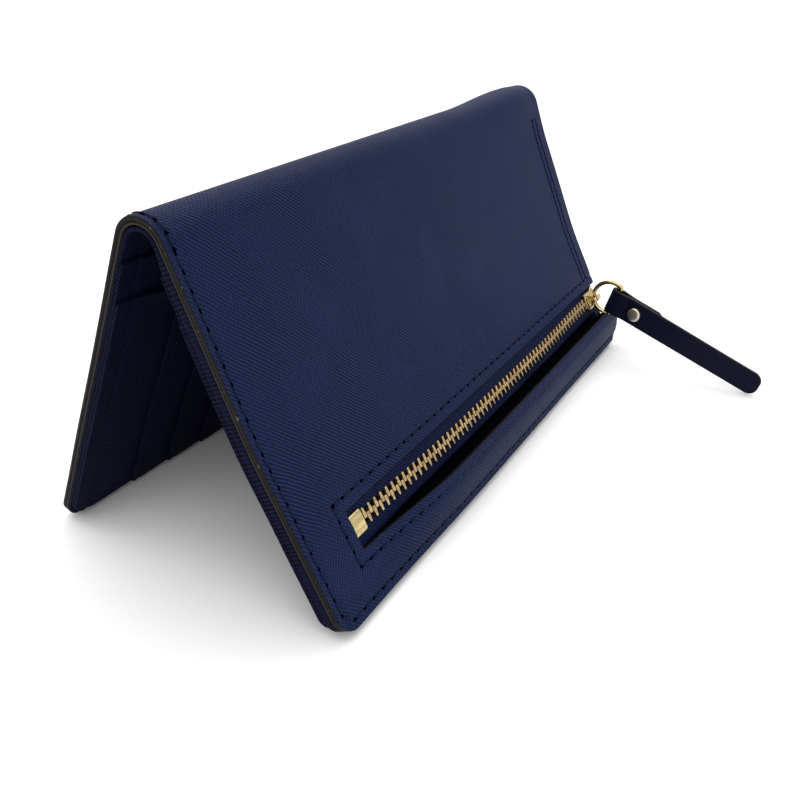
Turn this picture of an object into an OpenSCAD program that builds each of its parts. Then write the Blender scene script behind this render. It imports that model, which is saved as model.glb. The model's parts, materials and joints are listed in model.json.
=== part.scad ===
// Long bifold wallet standing open like a tent, with an outside zip pocket and a riveted leather zip pull.
// X runs along the fold, Y from the front flap to the back flap, Z up. Millimetres.
// Across a flap, x runs along the fold, v is the height above the flap's bottom edge
// and n is the distance out from the flap's outer face, so the layers inside have negative n.

/* [Overall] */
// Length of the wallet along the fold
wallet_len = 184; // [150:1:225]
// Height of the front flap, from its hinge line to its bottom edge
flap_len = 89.6; // [74:0.2:108]
// Lean of each flap from upright as the wallet stands
tent_half = 24; // [18:0.5:32]
// Extra outward set of the front flap's lower part
flare = 4.5; // [0:0.5:6]
// Height of the front flap's lower part
flare_h = 44; // [42:1:52]
// Height over which the front flap takes its outward set
flare_bend = 12; // [6:1:14]
// Outside radius of the fold
fold_r = 7.1; // [5.9:0.1:7.6]
// Radius of the flaps' bottom corners
corner_r = 5; // [2:0.5:6]

/* [Layers] */
// Outer leather
cover_t = 1.2; // [1:0.1:1.6]
// Board behind the outer leather
board_t = 0.7; // [0.5:0.1:1]
// Lining leather of the front flap
front_lining_t = 0.9; // [0.7:0.1:1.4]
// Lining leather of the back flap and the spine
back_lining_t = 1; // [0.7:0.1:1.4]
// Leather of the pockets inside the front flap
front_pocket_t = 0.7; // [0.5:0.1:1]
// Leather of the pockets inside the back flap
back_pocket_t = 0.8; // [0.5:0.1:1]
// Leather of one card slot
slot_t = 0.6; // [0.5:0.1:1]
// Cloth of the zip pocket's bag
bag_t = 0.2; // [0.15:0.05:0.4]
// Width of the lining's turned hem
hem_w = 6; // [4:0.5:8]
// Space left between the two flaps' insides when the wallet is closed
closed_gap = 0.5; // [0.3:0.1:3]

/* [Pockets] */
// Top edge of the first pocket below the hinge line
pocket_1_drop = 4.3; // [2:0.1:8]
// Top edge of the second pocket below that of the first
pocket_step = 10; // [6:0.5:14]
// Open edge of the first card slot, from the left end
slot_x = 19; // [12:0.5:30]
// Step from one card slot's open edge to the next
slot_step = 13; // [8:0.5:15]
// Height of the card slots
slot_h = 67; // [58:0.5:70]
// Right end of the card slots, in from the wallet's right end
slot_margin = 5; // [4:0.5:12]

/* [Zip] */
// Height of the zip's centre line above the bottom edge
zip_v = 18.2; // [17:0.1:20]
// Left end of the window cut for the zip
window_x = 16.4; // [12:0.2:24]
// Window above the zip's centre line
window_up = 4.5; // [4.5:0.1:5.2]
// Window below the zip's centre line
window_down = 5.4; // [5:0.1:6]
// Distance between two teeth of one side
tooth_pitch = 2.6; // [2.4:0.1:3]
// Width of the closed chain
chain_w = 4.8; // [4.4:0.1:5]
// Thickness of the teeth
tooth_t = 1.95; // [1.8:0.05:2.1]
// Width of one zip tape
tape_w = 11; // [9:0.5:11]
// Thickness of a zip tape
tape_t = 0.45; // [0.35:0.05:0.5]
// Length of the slider
slider_len = 9.4; // [8.5:0.1:11]
// Thickness of the slider's plates
slider_plate_t = 0.65; // [0.5:0.05:0.7]
// Slider's centre at rest, in from the wallet's right end
slider_inset = 7.5; // [7:0.1:12]
// Width of the slider's bridge
bridge_w = 1.6; // [1.2:0.1:1.8]

/* [Pull] */
// Wire of the pull's D ring
ring_wire = 1.5; // [1.2:0.1:1.6]
// Radius of the D ring's round side, to the middle of the wire
ring_r = 5.9; // [5.8:0.1:7]
// Straight sides of the D ring
ring_side = 2.4; // [2:0.1:4]
// Droop of the D ring below level
ring_droop = 20; // [16:1:24]
// Width of the pull strap
strap_w = 9.2; // [8:0.1:9.4]
// Thickness of the strap's leather
strap_t = 1.4; // [1:0.1:1.5]
// Length of the strap from the ring's bar to its tip
strap_len = 57.8; // [45:0.2:70]
// Length of the strap's turned-back layer from the ring's bar
strap_back = 18.5; // [15:0.5:24]
// Swing of the strap to the left of square to the wallet
strap_yaw = 9; // [0:1:15]
// Rivet's distance from the ring's bar
rivet_x = 9; // [7.5:0.1:11]
// Radius of the rivet's cap
rivet_r = 2.5; // [2:0.1:3]

/* [Stitching] */
// Distance from one stitch to the next
stitch_pitch = 3.94; // [3:0.1:5]
// Length of one stitch
stitch_len = 2.9; // [2:0.1:3]
// Thickness of the thread
thread_t = 0.5; // [0.3:0.05:0.6]
// Stitch line in from an edge
stitch_inset = 2; // [1.5:0.1:3]
// Outer line of the stitched loop in from the front flap's right end
loop_inset = 5.3; // [4.5:0.1:6]
// Width of the stitched loop
loop_w = 3; // [2:0.1:4]
// Stitching outside the window's edges
frame_margin = 3; // [2.5:0.1:4]

/* [Hidden] */
$fn = 48;

// Card slots, each of which has a node of its own
card_slots = 6;

// Clearances
hinge_gap = 0.1;       // between the spine and a flap's top edge
skin_gap = 0.05;       // between two layers that curve round the fold
spine_void = 0.3;      // where the lining stands off the board at the fold
move_gap = 0.1;        // round the slider and the ring
thread_lift = 0.1;     // under a stitch
groove_d = 0.5;        // of the groove that the back flap's stitches lie in
table_gap = 0.1;       // under the strap's tip
cut = 1;               // by how much a cutter passes through

// Depths of the layers' faces below the outer face
board_n = cover_t;
shell_n = cover_t + board_t;
tape_n = cover_t;
tooth_mid_n = tape_n + tape_t / 2;
plate_top_n = tooth_mid_n - tooth_t / 2 - move_gap / 2;
plate_bottom_n = tooth_mid_n + tooth_t / 2 + move_gap / 2;
bag_n = plate_bottom_n + slider_plate_t + move_gap / 2;
front_lining_n = bag_n + bag_t;
front_pocket_n = front_lining_n + front_lining_t;
front_stack = front_pocket_n + 2 * front_pocket_t;
back_pocket_n = shell_n + back_lining_t;
card_n = back_pocket_n + 2 * back_pocket_t;
back_stack = card_n + card_slots * slot_t;

// The hinge lines lie on the outer faces, half the closed thickness from the middle
hinge_y = (front_stack + back_stack + closed_gap) / 2;
lean = [tent_half, tent_half + flare / 2, tent_half + flare];
knot_s = [0, flap_len - flare_h - flare_bend / 2, flap_len - flare_h + flare_bend / 2, flap_len];
drop = [for (i = [0:2]) (knot_s[i + 1] - knot_s[i]) * cos(lean[i])];
hinge_z = drop[0] + drop[1] + drop[2] + front_pocket_n * sin(lean[2]);
fold_z = hinge_z - (fold_r - hinge_y * cos(tent_half)) / sin(tent_half);
back_len = (hinge_z - back_pocket_n * sin(tent_half)) / cos(tent_half);

// A pocket stops short of the bottom edge by as much as its lean would push it into the table
front_foot = 2 * front_pocket_t * tan(lean[2]) + 0.2;
back_foot = (back_stack - back_pocket_n) * tan(tent_half) + 0.2;

// Points of the front flap in the Y-Z plane
function down(a) = [-sin(a), -cos(a)];
function out(a) = [-cos(a), sin(a)];
function knot(i) = i == 0 ? [-hinge_y, hinge_z]
    : knot(i - 1) + (knot_s[i] - knot_s[i - 1]) * down(lean[i - 1]);
function mitre(i, n) = knot(i)
    + n * (out(lean[i - 1]) + out(lean[i])) / (1 + cos(lean[i] - lean[i - 1]));
function stretch(s) = s < knot_s[1] ? 0 : s < knot_s[2] ? 1 : 2;
function front_point(v, n) = let (s = flap_len - v, i = stretch(s))
    knot(i) + (s - knot_s[i]) * down(lean[i]) + n * out(lean[i]);
function bends(v) = [for (i = [1, 2])
    if (flap_len - knot_s[i] > v[0] && flap_len - knot_s[i] < v[1]) i];

// The slider, the ring and the strap
slider_x = wallet_len - slider_inset;
chain_x0 = window_x + 5;
chain_x1 = slider_x + slider_len / 2 - 0.4;
teeth = floor((chain_x1 - chain_x0) / tooth_pitch);
slider_half_w = chain_w / 2 + 1.7;
flange_w = 0.65;
tunnel_half = 1.8;
tunnel_h = 2.2;
bridge_t = 0.9;
plate_out_n = slider_plate_t - plate_top_n;
ring_u = -1.3;
ring_n = plate_out_n + move_gap + ring_wire / 2 + ring_r;
ring_turn = 90 - lean[2] - ring_droop;
bar_u = ring_u - ring_side * cos(ring_turn);
bar_n = ring_n + ring_side * sin(ring_turn);
bar_yz = front_point(zip_v, 0) - bar_u * down(lean[2]) + bar_n * out(lean[2]);
tip_r = 3;
tip_reach = strap_len - tip_r;
tip_half = strap_w / 2 - tip_r;

// The strap turns about the ring's bar, and then in its own plane until its tip comes down to the table
bar_dir = [0, -sin(ring_droop), cos(ring_droop)];
strap_level = [-sin(strap_yaw), -cos(ring_droop) * cos(strap_yaw), -sin(ring_droop) * cos(strap_yaw)];
strap_steep = norm([strap_level[2], bar_dir[2]]);
strap_pitch = asin(((bar_yz[1] - table_gap) / strap_steep - tip_r) / norm([tip_reach, tip_half]))
    - atan2(tip_half, tip_reach) - atan2(-strap_level[2], bar_dir[2]);
strap_dir = cos(strap_pitch) * strap_level - sin(strap_pitch) * bar_dir;
strap_up = sin(strap_pitch) * strap_level + cos(strap_pitch) * bar_dir;
strap_fold_x = -strap_w / 2 * tan(abs(strap_pitch));
strap_fold_r = ring_wire / 2 + 0.15;
strap_shut_x = rivet_x - 2.8;
strap_open_x = 0.8 - strap_fold_x;

// The rivet
rivet_post_r = 1.2;
cap_rim = 0.5;
cap_dome = 1.1;
cap_socket = 0.6;
flange_t = 0.5;

// Plan size of the whole wallet with its pull, which the origin is centred under
front_y = bar_yz[0] + tip_reach * strap_dir[1] + tip_half * strap_up[1]
    - tip_r * norm([strap_dir[1], strap_up[1]]);
back_y = hinge_y + back_len * sin(tent_half);

navy = [0.12, 0.14, 0.28];
dark_navy = [0.07, 0.08, 0.15];
gold = [0.75, 0.64, 0.38];

module placed() {
    translate([-wallet_len / 2, -(front_y + back_y) / 2, 0]) children();
}

// Frame on the front flap's lower part: X along, Y up the flap, Z out, with its origin at height v
module on_front(v) {
    p = front_point(v, 0);
    translate([0, p[0], p[1]]) rotate([90 - lean[2], 0, 0]) children();
}

// The same on the back flap, which is flat from the hinge line down
module on_back() {
    mirror([0, 1, 0]) translate([0, -hinge_y, hinge_z]) rotate([90 - tent_half, 0, 0])
        translate([0, -back_len, 0]) children();
}

module corner_cutter() {
    translate([0, 0, -20]) linear_extrude(30) difference() {
        translate([-cut, -cut]) square(corner_r + cut);
        translate([corner_r, corner_r]) circle(corner_r);
    }
}

module both_corners() {
    corner_cutter();
    translate([wallet_len, 0, 0]) mirror([1, 0, 0]) corner_cutter();
}

// A layer of the front flap between two depths, following its set
module front_layer(x, v, n) {
    knots = bends(v);
    last = len(knots) - 1;
    points = concat([front_point(v[1], -n[0])], [for (i = knots) mitre(i, -n[0])],
        [front_point(v[0], -n[0]), front_point(v[0], -n[1])],
        [for (k = [last:-1:0]) mitre(knots[k], -n[1])], [front_point(v[1], -n[1])]);
    translate([x[0], 0, 0]) rotate([90, 0, 90]) linear_extrude(x[1] - x[0]) polygon(points);
}

module front_sheet(x, v, n) {
    difference() {
        front_layer(x, v, n);
        on_front(0) both_corners();
    }
}

module back_sheet(x, v, n) {
    on_back() difference() {
        translate([x[0], v[0], -n[1]]) cube([x[1] - x[0], v[1] - v[0], n[1] - n[0]]);
        both_corners();
    }
}

full_x = [0, wallet_len];
front_full_v = [0, flap_len - hinge_gap / 2];
back_full_v = [0, back_len - hinge_gap / 2];

module front_cover() {
    color(navy) difference() {
        front_sheet(full_x, front_full_v, [0, cover_t]);
        on_front(zip_v) translate([window_x, -window_down, -10])
            cube([wallet_len, window_down + window_up, 20]);
    }
}

module front_board() {
    color("tan") difference() {
        front_sheet(full_x, front_full_v, [board_n, shell_n]);
        on_front(zip_v) translate([window_x - 6.2, -chain_w / 2 - tape_w - 0.2, -10])
            cube([wallet_len, chain_w + 2 * tape_w + 0.4, 20]);
    }
}

module front_lining() {
    color(navy) difference() {
        front_sheet(full_x, front_full_v, [shell_n, front_pocket_n]);
        front_layer([hem_w, wallet_len - hem_w], [hem_w, flap_len - hem_w],
            [shell_n - cut, front_lining_n]);
        on_front(zip_v) translate([wallet_len - 2 * hem_w, -6, -front_lining_n])
            cube([3 * hem_w, 12, front_lining_n]);
    }
}

module front_pocket(k) {
    color(navy) front_sheet(full_x, [front_foot, flap_len - pocket_1_drop - (k - 1) * pocket_step],
        [front_pocket_n + (k - 1) * front_pocket_t, front_pocket_n + k * front_pocket_t]);
}

module front_pocket_1() { front_pocket(1); }
module front_pocket_2() { front_pocket(2); }

bag_x = [hem_w + 2, wallet_len - hem_w - 2];
bag_top = flap_len - hem_w - 1;

module zip_bag_front() {
    color(dark_navy) front_layer(bag_x, [zip_v + slider_half_w + 0.6, bag_top], [shell_n, shell_n + bag_t]);
}

module zip_bag_back() {
    color(dark_navy) front_layer(bag_x, [hem_w + 1, bag_top], [bag_n, bag_n + bag_t]);
}

module tape() {
    translate([window_x - 6, chain_w / 2, -tape_n - tape_t])
        cube([wallet_len - window_x + 5.2, tape_w, tape_t]);
}

module zip_tape_upper() { color(dark_navy) on_front(zip_v) tape(); }
module zip_tape_lower() { color(dark_navy) on_front(zip_v) mirror([0, 1, 0]) tape(); }

// Teeth of one side: each has a head that passes between two of the other side's and a narrower root
module tooth_row(first) {
    head = tooth_pitch / 2 - 0.14;
    root = head * 0.7;
    reach = 0.5;
    for (i = [0:teeth - 1])
        translate([chain_x0 + first + i * tooth_pitch, 0, -tooth_mid_n - tooth_t / 2])
            linear_extrude(tooth_t) polygon([[-root / 2, chain_w / 2], [-root / 2, 1.2],
                [-head / 2, 0.8], [-head / 2, -reach + 0.2], [-head / 2 + 0.2, -reach],
                [head / 2 - 0.2, -reach], [head / 2, -reach + 0.2], [head / 2, 0.8],
                [root / 2, 1.2], [root / 2, chain_w / 2]]);
}

module zip_teeth_upper() { color(gold) on_front(zip_v) tooth_row(tooth_pitch / 4); }
module zip_teeth_lower() { color(gold) on_front(zip_v) mirror([0, 1, 0]) tooth_row(tooth_pitch * 3 / 4); }

module zip_bottom_stop() {
    stop_t = tooth_t + 0.5;
    color(gold) on_front(zip_v) difference() {
        translate([window_x + 0.2, -2.75, -tooth_mid_n - stop_t / 2]) cube([4.4, 5.5, stop_t]);
        for (side = [0, 1]) mirror([0, side, 0]) translate([0, chain_w / 2 - 0.02, -tape_n - tape_t - 0.02])
            cube([wallet_len, tape_w, tape_t + 0.04]);
    }
}

module zip_top_stops() {
    color(gold) on_front(zip_v) for (side = [0, 1]) mirror([0, side, 0])
        translate([slider_x + slider_len / 2 + 0.3, chain_w / 2 - 1.1, -tooth_mid_n - tooth_t / 2])
            cube([1.5, 1.1, tooth_t]);
}

// Outline of the slider's plates: a tail as wide as the chain needs and two shoulders
module slider_outline() {
    half = slider_len / 2;
    tail = slider_half_w - 0.9;
    polygon([[-half, -tail + 0.6], [-half + 0.6, -tail], [half * 0.1, -tail], [half * 0.62, -slider_half_w],
        [half * 0.8, -slider_half_w], [half, -tail + 0.4], [half, tail - 0.4], [half * 0.8, slider_half_w],
        [half * 0.62, slider_half_w], [half * 0.1, tail], [-half + 0.6, tail], [-half, tail - 0.6]]);
}

// A plate with a flange down each side, which stops short of the tape
module slider_plate(flange_h) {
    flange_y = chain_w / 2 + move_gap;
    linear_extrude(slider_plate_t) slider_outline();
    intersection() {
        translate([0, 0, -flange_h]) linear_extrude(flange_h) slider_outline();
        for (side = [0, 1]) mirror([0, side, 0]) translate([-slider_len, flange_y, -flange_h])
            cube([2 * slider_len, flange_w, flange_h]);
    }
}

module slider_top_plate() {
    color(gold) on_front(zip_v) translate([slider_x, 0, -plate_top_n])
        slider_plate(tape_n - plate_top_n - move_gap);
}

module slider_bottom_plate() {
    color(gold) on_front(zip_v) translate([slider_x, 0, -plate_bottom_n]) mirror([0, 0, 1])
        slider_plate(plate_bottom_n - tape_n - tape_t - move_gap);
}

// Arch over the slider that the ring is linked through
module slider_bridge() {
    leg = tunnel_half + bridge_t;
    top = tunnel_h + bridge_t;
    color(gold) on_front(zip_v) translate([slider_x, bridge_w / 2, plate_out_n]) rotate([90, 0, 0])
        linear_extrude(bridge_w) difference() {
            polygon([[-leg, 0], [-leg, top - 0.8], [-leg + 0.8, top], [leg - 0.8, top],
                [leg, top - 0.8], [leg, 0]]);
            translate([-tunnel_half, -cut]) square([2 * tunnel_half, tunnel_h + cut]);
        }
}

// Frame of the D ring: origin at the middle of its round side, X towards its bar, Z along the wallet
module on_ring() {
    on_front(zip_v) translate([slider_x, ring_u, ring_n]) rotate([90, 0, 90])
        rotate([0, 0, 180 - ring_turn]) children();
}

module pull_ring() {
    bend_r = 1.2;
    arm = ring_side - bend_r;
    color(gold) on_ring() {
        rotate([0, 0, 90]) rotate_extrude(angle = 180) translate([ring_r, 0]) circle(d = ring_wire);
        for (side = [0, 1]) mirror([0, side, 0]) {
            translate([0, ring_r, 0]) rotate([0, 90, 0]) cylinder(d = ring_wire, h = arm);
            translate([arm, ring_r - bend_r, 0]) rotate_extrude(angle = 90)
                translate([bend_r, 0]) circle(d = ring_wire);
        }
        translate([ring_side, ring_r - bend_r, 0]) rotate([90, 0, 0])
            cylinder(d = ring_wire, h = 2 * (ring_r - bend_r));
    }
}

// Frame of the strap: origin on the ring's bar, X towards the tip, Y through the leather, Z across
module on_strap() {
    translate([slider_x, bar_yz[0], bar_yz[1]]) rotate([0, ring_droop, -90])
        rotate([0, 0, -strap_yaw]) rotate([0, strap_pitch, 0]) children();
}

// Side view of the folded strap, whose two layers close up in front of the ring's bar
module strap_section() {
    inner = strap_fold_r;
    outer = strap_fold_r + strap_t;
    shut = skin_gap;
    difference() {
        union() {
            translate([strap_fold_x, 0]) circle(outer);
            polygon([[strap_fold_x, -outer], [strap_open_x, -outer], [strap_shut_x, -strap_t - shut],
                [strap_len, -strap_t - shut], [strap_len, -shut], [strap_back, -shut],
                [strap_back, strap_t + shut], [strap_shut_x, strap_t + shut],
                [strap_open_x, outer], [strap_fold_x, outer]]);
        }
        translate([strap_fold_x, 0]) circle(inner);
        polygon([[strap_fold_x, -inner], [strap_open_x, -inner], [strap_shut_x, -shut],
            [strap_back + cut, -shut], [strap_back + cut, shut], [strap_shut_x, shut],
            [strap_open_x, inner], [strap_fold_x, inner]]);
    }
}

// What is cut off a layer of the strap to round the corners of its end
module end_cutter(length, y) {
    reach = length - tip_r;
    translate([0, y[1], 0]) rotate([90, 0, 0]) linear_extrude(y[1] - y[0]) difference() {
        translate([reach, -strap_w]) square([tip_r + cut, 2 * strap_w]);
        translate([reach, -tip_half]) square([tip_r, 2 * tip_half]);
        for (side = [-1, 1]) translate([reach, side * tip_half]) circle(tip_r);
    }
}

module pull_strap() {
    color(dark_navy) on_strap() difference() {
        translate([0, 0, -strap_w / 2]) linear_extrude(strap_w) strap_section();
        end_cutter(strap_len, [-strap_t - cut, 0]);
        end_cutter(strap_back, [0, strap_t + cut]);
        translate([rivet_x, 0, 0]) rotate([90, 0, 0])
            cylinder(r = rivet_post_r + skin_gap, h = 4 * strap_t, center = true);
    }
}

module pull_rivet_cap() {
    ball_r = (rivet_r * rivet_r + cap_dome * cap_dome) / (2 * cap_dome);
    color("silver") on_strap() translate([rivet_x, -strap_t - skin_gap, 0]) rotate([90, 0, 0])
        difference() {
            union() {
                cylinder(r = rivet_r, h = cap_rim);
                translate([0, 0, cap_rim]) intersection() {
                    translate([0, 0, cap_dome - ball_r]) sphere(ball_r);
                    cylinder(r = rivet_r, h = cap_dome);
                }
            }
            translate([0, 0, -cut]) cylinder(r = rivet_post_r, h = cut + cap_socket);
        }
}

module pull_rivet_post() {
    color("silver") on_strap() translate([rivet_x, strap_t + skin_gap, 0]) {
        rotate([90, 0, 0]) cylinder(r = rivet_post_r, h = 2 * strap_t + 2 * skin_gap + cap_socket);
        rotate([-90, 0, 0]) cylinder(r = rivet_r - 0.2, h = flange_t);
    }
}

// Outline of the fold at a depth: its round top and the straight stretch down to the hinge lines
module fold_outline(n) {
    r = fold_r - n;
    side = [hinge_y - n * cos(tent_half), hinge_z - fold_z - n * sin(tent_half)];
    tangent = r * [cos(tent_half), sin(tent_half)];
    skirt = side + 2 * fold_r * [sin(tent_half), -cos(tent_half)];
    circle(r, $fn = 96);
    polygon([[-tangent[0], tangent[1]], [-side[0], side[1]], [-skirt[0], skirt[1]], skirt, side, tangent]);
}

module spine_layer(n) {
    translate([0, 0, fold_z]) rotate([90, 0, 90]) linear_extrude(wallet_len) intersection() {
        difference() {
            fold_outline(n[0]);
            fold_outline(n[1]);
        }
        translate([-2 * fold_r, hinge_z - fold_z + hinge_gap / 2]) square(4 * fold_r);
    }
}

module spine_cover() { color(navy) spine_layer([0, cover_t]); }
module spine_board() { color("tan") spine_layer([board_n + skin_gap, shell_n]); }
module spine_lining() {
    color(navy) spine_layer([shell_n + spine_void, shell_n + spine_void + back_lining_t]);
}

// Where the back flap's stitches run: up both ends and along the bottom edge
module back_seam() {
    for (x = [stitch_inset, wallet_len - stitch_inset])
        translate([x, corner_r, 0]) rotate([0, 0, 90]) children(0);
    translate([corner_r, stitch_inset, 0]) children(1);
}

module groove(length) {
    translate([0, -thread_t, -groove_d]) cube([length, 2 * thread_t, groove_d + cut]);
}

module back_cover() {
    color(navy) difference() {
        back_sheet(full_x, back_full_v, [0, cover_t]);
        on_back() back_seam() {
            groove(back_len);
            groove(wallet_len - 2 * corner_r);
        }
    }
}

module back_board() { color("tan") back_sheet(full_x, back_full_v, [board_n, shell_n]); }
module back_lining() { color(navy) back_sheet(full_x, back_full_v, [shell_n, back_pocket_n]); }

module back_pocket(k) {
    color(navy) back_sheet(full_x, [back_foot, back_len - pocket_1_drop - (k - 1) * pocket_step],
        [back_pocket_n + (k - 1) * back_pocket_t, back_pocket_n + k * back_pocket_t]);
}

module back_pocket_1() { back_pocket(1); }
module back_pocket_2() { back_pocket(2); }

// Card slots lie on each other, each starting one step further from the left end
module card_slot(k) {
    if (k <= card_slots) color(navy)
        back_sheet([slot_x + (k - 1) * slot_step, wallet_len - slot_margin],
            [back_foot, back_foot + slot_h], [card_n + (k - 1) * slot_t, card_n + k * slot_t]);
}

module card_slot_1() { card_slot(1); }
module card_slot_2() { card_slot(2); }
module card_slot_3() { card_slot(3); }
module card_slot_4() { card_slot(4); }
module card_slot_5() { card_slot(5); }
module card_slot_6() { card_slot(6); }

// One stitch, lying along X on the outer face
module stitch() {
    translate([-stitch_len / 2, -thread_t / 2, thread_lift]) cube([stitch_len, thread_t, thread_t / 2]);
}

module stitch_row(length) {
    count = floor(length / stitch_pitch);
    for (i = [0:count - 1]) translate([(i + 0.5) * length / count, 0, 0]) stitch();
}

// A row of stitches up the front flap, following its set
module front_thread_column(x, v) {
    count = floor((v[1] - v[0]) / stitch_pitch);
    for (i = [0:count - 1]) {
        height = v[0] + (i + 0.5) * (v[1] - v[0]) / count;
        p = front_point(height, 0);
        translate([x, p[0], p[1]]) rotate([90 - lean[stretch(flap_len - height)], 0, 0])
            rotate([0, 0, 90]) stitch();
    }
}

module front_edge_thread() {
    color(dark_navy) {
        front_thread_column(stitch_inset, [corner_r, flap_len]);
        on_front(stitch_inset) translate([corner_r, 0, 0]) stitch_row(wallet_len - 2 * corner_r);
    }
}

// Stitching round the window, open at the right end, and the narrow loop that goes up from it
module zip_frame_thread() {
    run = wallet_len - window_x - frame_margin;
    frame_top = window_up + frame_margin;
    color(dark_navy) {
        on_front(zip_v) {
            translate([window_x, frame_top, 0]) stitch_row(run);
            translate([window_x, -window_down - frame_margin, 0]) stitch_row(run);
            translate([window_x - frame_margin, -window_down, 0]) rotate([0, 0, 90])
                stitch_row(window_up + window_down);
        }
        for (x = [loop_inset, loop_inset + loop_w])
            front_thread_column(wallet_len - x, [zip_v + frame_top + 1, flap_len - stitch_inset]);
    }
}

module spine_edge_thread() {
    arc = 180 - 2 * tent_half - 10;
    count = floor(arc * PI / 180 * fold_r / stitch_pitch);
    color(dark_navy) for (i = [0:count - 1])
        translate([stitch_inset, 0, fold_z]) rotate([arc / 2 - (i + 0.5) * arc / count, 0, 0])
            translate([0, 0, fold_r]) rotate([0, 0, 90]) stitch();
}

module back_edge_thread() {
    color(dark_navy) on_back() translate([0, 0, -groove_d]) back_seam() {
        stitch_row(back_len - corner_r);
        stitch_row(wallet_len - 2 * corner_r);
    }
}

placed() {
    front_cover();
    front_board();
    front_lining();
    front_pocket_1();
    front_pocket_2();
    zip_bag_front();
    zip_bag_back();
    zip_tape_upper();
    zip_tape_lower();
    zip_teeth_upper();
    zip_teeth_lower();
    zip_bottom_stop();
    zip_top_stops();
    slider_top_plate();
    slider_bottom_plate();
    slider_bridge();
    pull_ring();
    pull_strap();
    pull_rivet_cap();
    pull_rivet_post();
    spine_cover();
    spine_board();
    spine_lining();
    back_cover();
    back_board();
    back_lining();
    back_pocket_1();
    back_pocket_2();
    card_slot_1();
    card_slot_2();
    card_slot_3();
    card_slot_4();
    card_slot_5();
    card_slot_6();
    front_edge_thread();
    zip_frame_thread();
    spine_edge_thread();
    back_edge_thread();
}
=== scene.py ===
"""Looks of a long bifold wallet that stands open like a tent: its leather, zip, stitching, pull and stage."""

import json
import math

import bmesh
import bpy
from mathutils import Matrix, Vector, noise


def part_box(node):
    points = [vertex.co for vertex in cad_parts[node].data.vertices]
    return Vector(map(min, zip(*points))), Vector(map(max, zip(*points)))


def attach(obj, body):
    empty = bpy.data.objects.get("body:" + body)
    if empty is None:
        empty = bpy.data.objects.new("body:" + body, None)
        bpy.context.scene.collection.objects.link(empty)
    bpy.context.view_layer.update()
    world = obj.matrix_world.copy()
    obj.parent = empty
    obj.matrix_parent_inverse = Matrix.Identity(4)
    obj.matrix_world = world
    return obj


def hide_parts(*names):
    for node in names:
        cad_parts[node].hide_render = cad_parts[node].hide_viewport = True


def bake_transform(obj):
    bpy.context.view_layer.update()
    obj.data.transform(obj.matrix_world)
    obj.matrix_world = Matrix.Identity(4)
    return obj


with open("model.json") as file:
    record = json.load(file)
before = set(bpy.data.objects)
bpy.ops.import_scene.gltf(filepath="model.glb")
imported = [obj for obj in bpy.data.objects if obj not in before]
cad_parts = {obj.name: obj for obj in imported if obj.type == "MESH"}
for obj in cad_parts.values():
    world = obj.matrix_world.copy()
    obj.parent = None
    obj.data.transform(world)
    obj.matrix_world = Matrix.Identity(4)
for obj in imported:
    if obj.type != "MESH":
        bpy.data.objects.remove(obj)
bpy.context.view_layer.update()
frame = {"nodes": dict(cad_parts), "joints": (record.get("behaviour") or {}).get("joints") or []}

bl_info = {
    "name": "Bifold wallet",
    "version": (1, 0, 0),
    "blender": (4, 5, 0),
    "location": "3D View > Sidebar > Wallet",
    "description": "Builds the leather, zip, stitching and pull of a long bifold wallet around its frame",
    "category": "Object",
}

MM = 0.001
FRONT, BACK = -1, 1

# Hinge lines and ring's bar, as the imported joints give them
JOINTS = {joint["name"]: joint for joint in frame["joints"]}
FRONT_HINGE = Vector(JOINTS["front_fold"]["pos_m"])
BACK_HINGE = Vector(JOINTS["back_fold"]["pos_m"])
RING_BAR = Vector(JOINTS["strap_swing"]["pos_m"])
MIDDLE_Y = (FRONT_HINGE.y + BACK_HINGE.y) / 2
LEFT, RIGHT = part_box("front_cover")[0].x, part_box("front_cover")[1].x

# Set of the flaps and the fold
TENT = math.radians(24)
FLARE = math.radians(4.5)
FLAP = 89.6 * MM
BEND_FROM = 39.6 * MM
BEND = 12 * MM
FOLD_R = 7.1 * MM
HINGE = Vector(((BACK_HINGE.y - FRONT_HINGE.y) / 2, FRONT_HINGE.z))
SKIRT = (HINGE.x - FOLD_R * math.cos(TENT)) / math.sin(TENT)
FOLD_CENTRE = Vector((0, HINGE.y + SKIRT * math.cos(TENT) - FOLD_R * math.sin(TENT)))
APEX = -SKIRT - FOLD_R * (math.pi / 2 - TENT)
BACK_FLAP = (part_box("back_cover")[1].y - BACK_HINGE.y) / math.sin(TENT)
CORNER = 5 * MM

# Depths of the layers below the outer face
COVER = -1.2 * MM
BOARD = -1.9 * MM
FRONT_LINING = -3.35 * MM
FRONT_POCKETS = -4.25 * MM
FRONT_POCKET_T = 0.7 * MM
BACK_POCKETS = -2.9 * MM
BACK_POCKET_T = 0.8 * MM
CARD_SLOTS = BACK_POCKETS - 2 * BACK_POCKET_T
SLOT_T = 0.6 * MM
SPINE_LINING = -2.2 * MM
LINING_T = 1.0 * MM

# Zip and window
ZIP_V = 18.2 * MM
WINDOW_LEFT = LEFT + 16.4 * MM
WINDOW_TOP = ZIP_V + 4.5 * MM
WINDOW_BOTTOM = ZIP_V - 5.4 * MM
TAPE_T = 0.45 * MM
CHAIN_W = 4.8 * MM
TOOTH_T = 1.95 * MM
TOOTH_PITCH = 2.6 * MM
TOOTH_MID = COVER - TAPE_T / 2
TEETH = 61
SLIDER_X = RING_BAR.x

# Pull strap: droop and turn of the ring's bar, and pitch of the strap in its own plane
RING_DROOP = math.radians(20)
STRAP_YAW = math.radians(9)
STRAP_PITCH = math.radians(-4.119)
STRAP_W = 9.2 * MM
STRAP_T = 1.4 * MM
STRAP_LEN = 57.8 * MM
STRAP_BACK = 18.5 * MM
RIVET_X = 9 * MM

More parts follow.
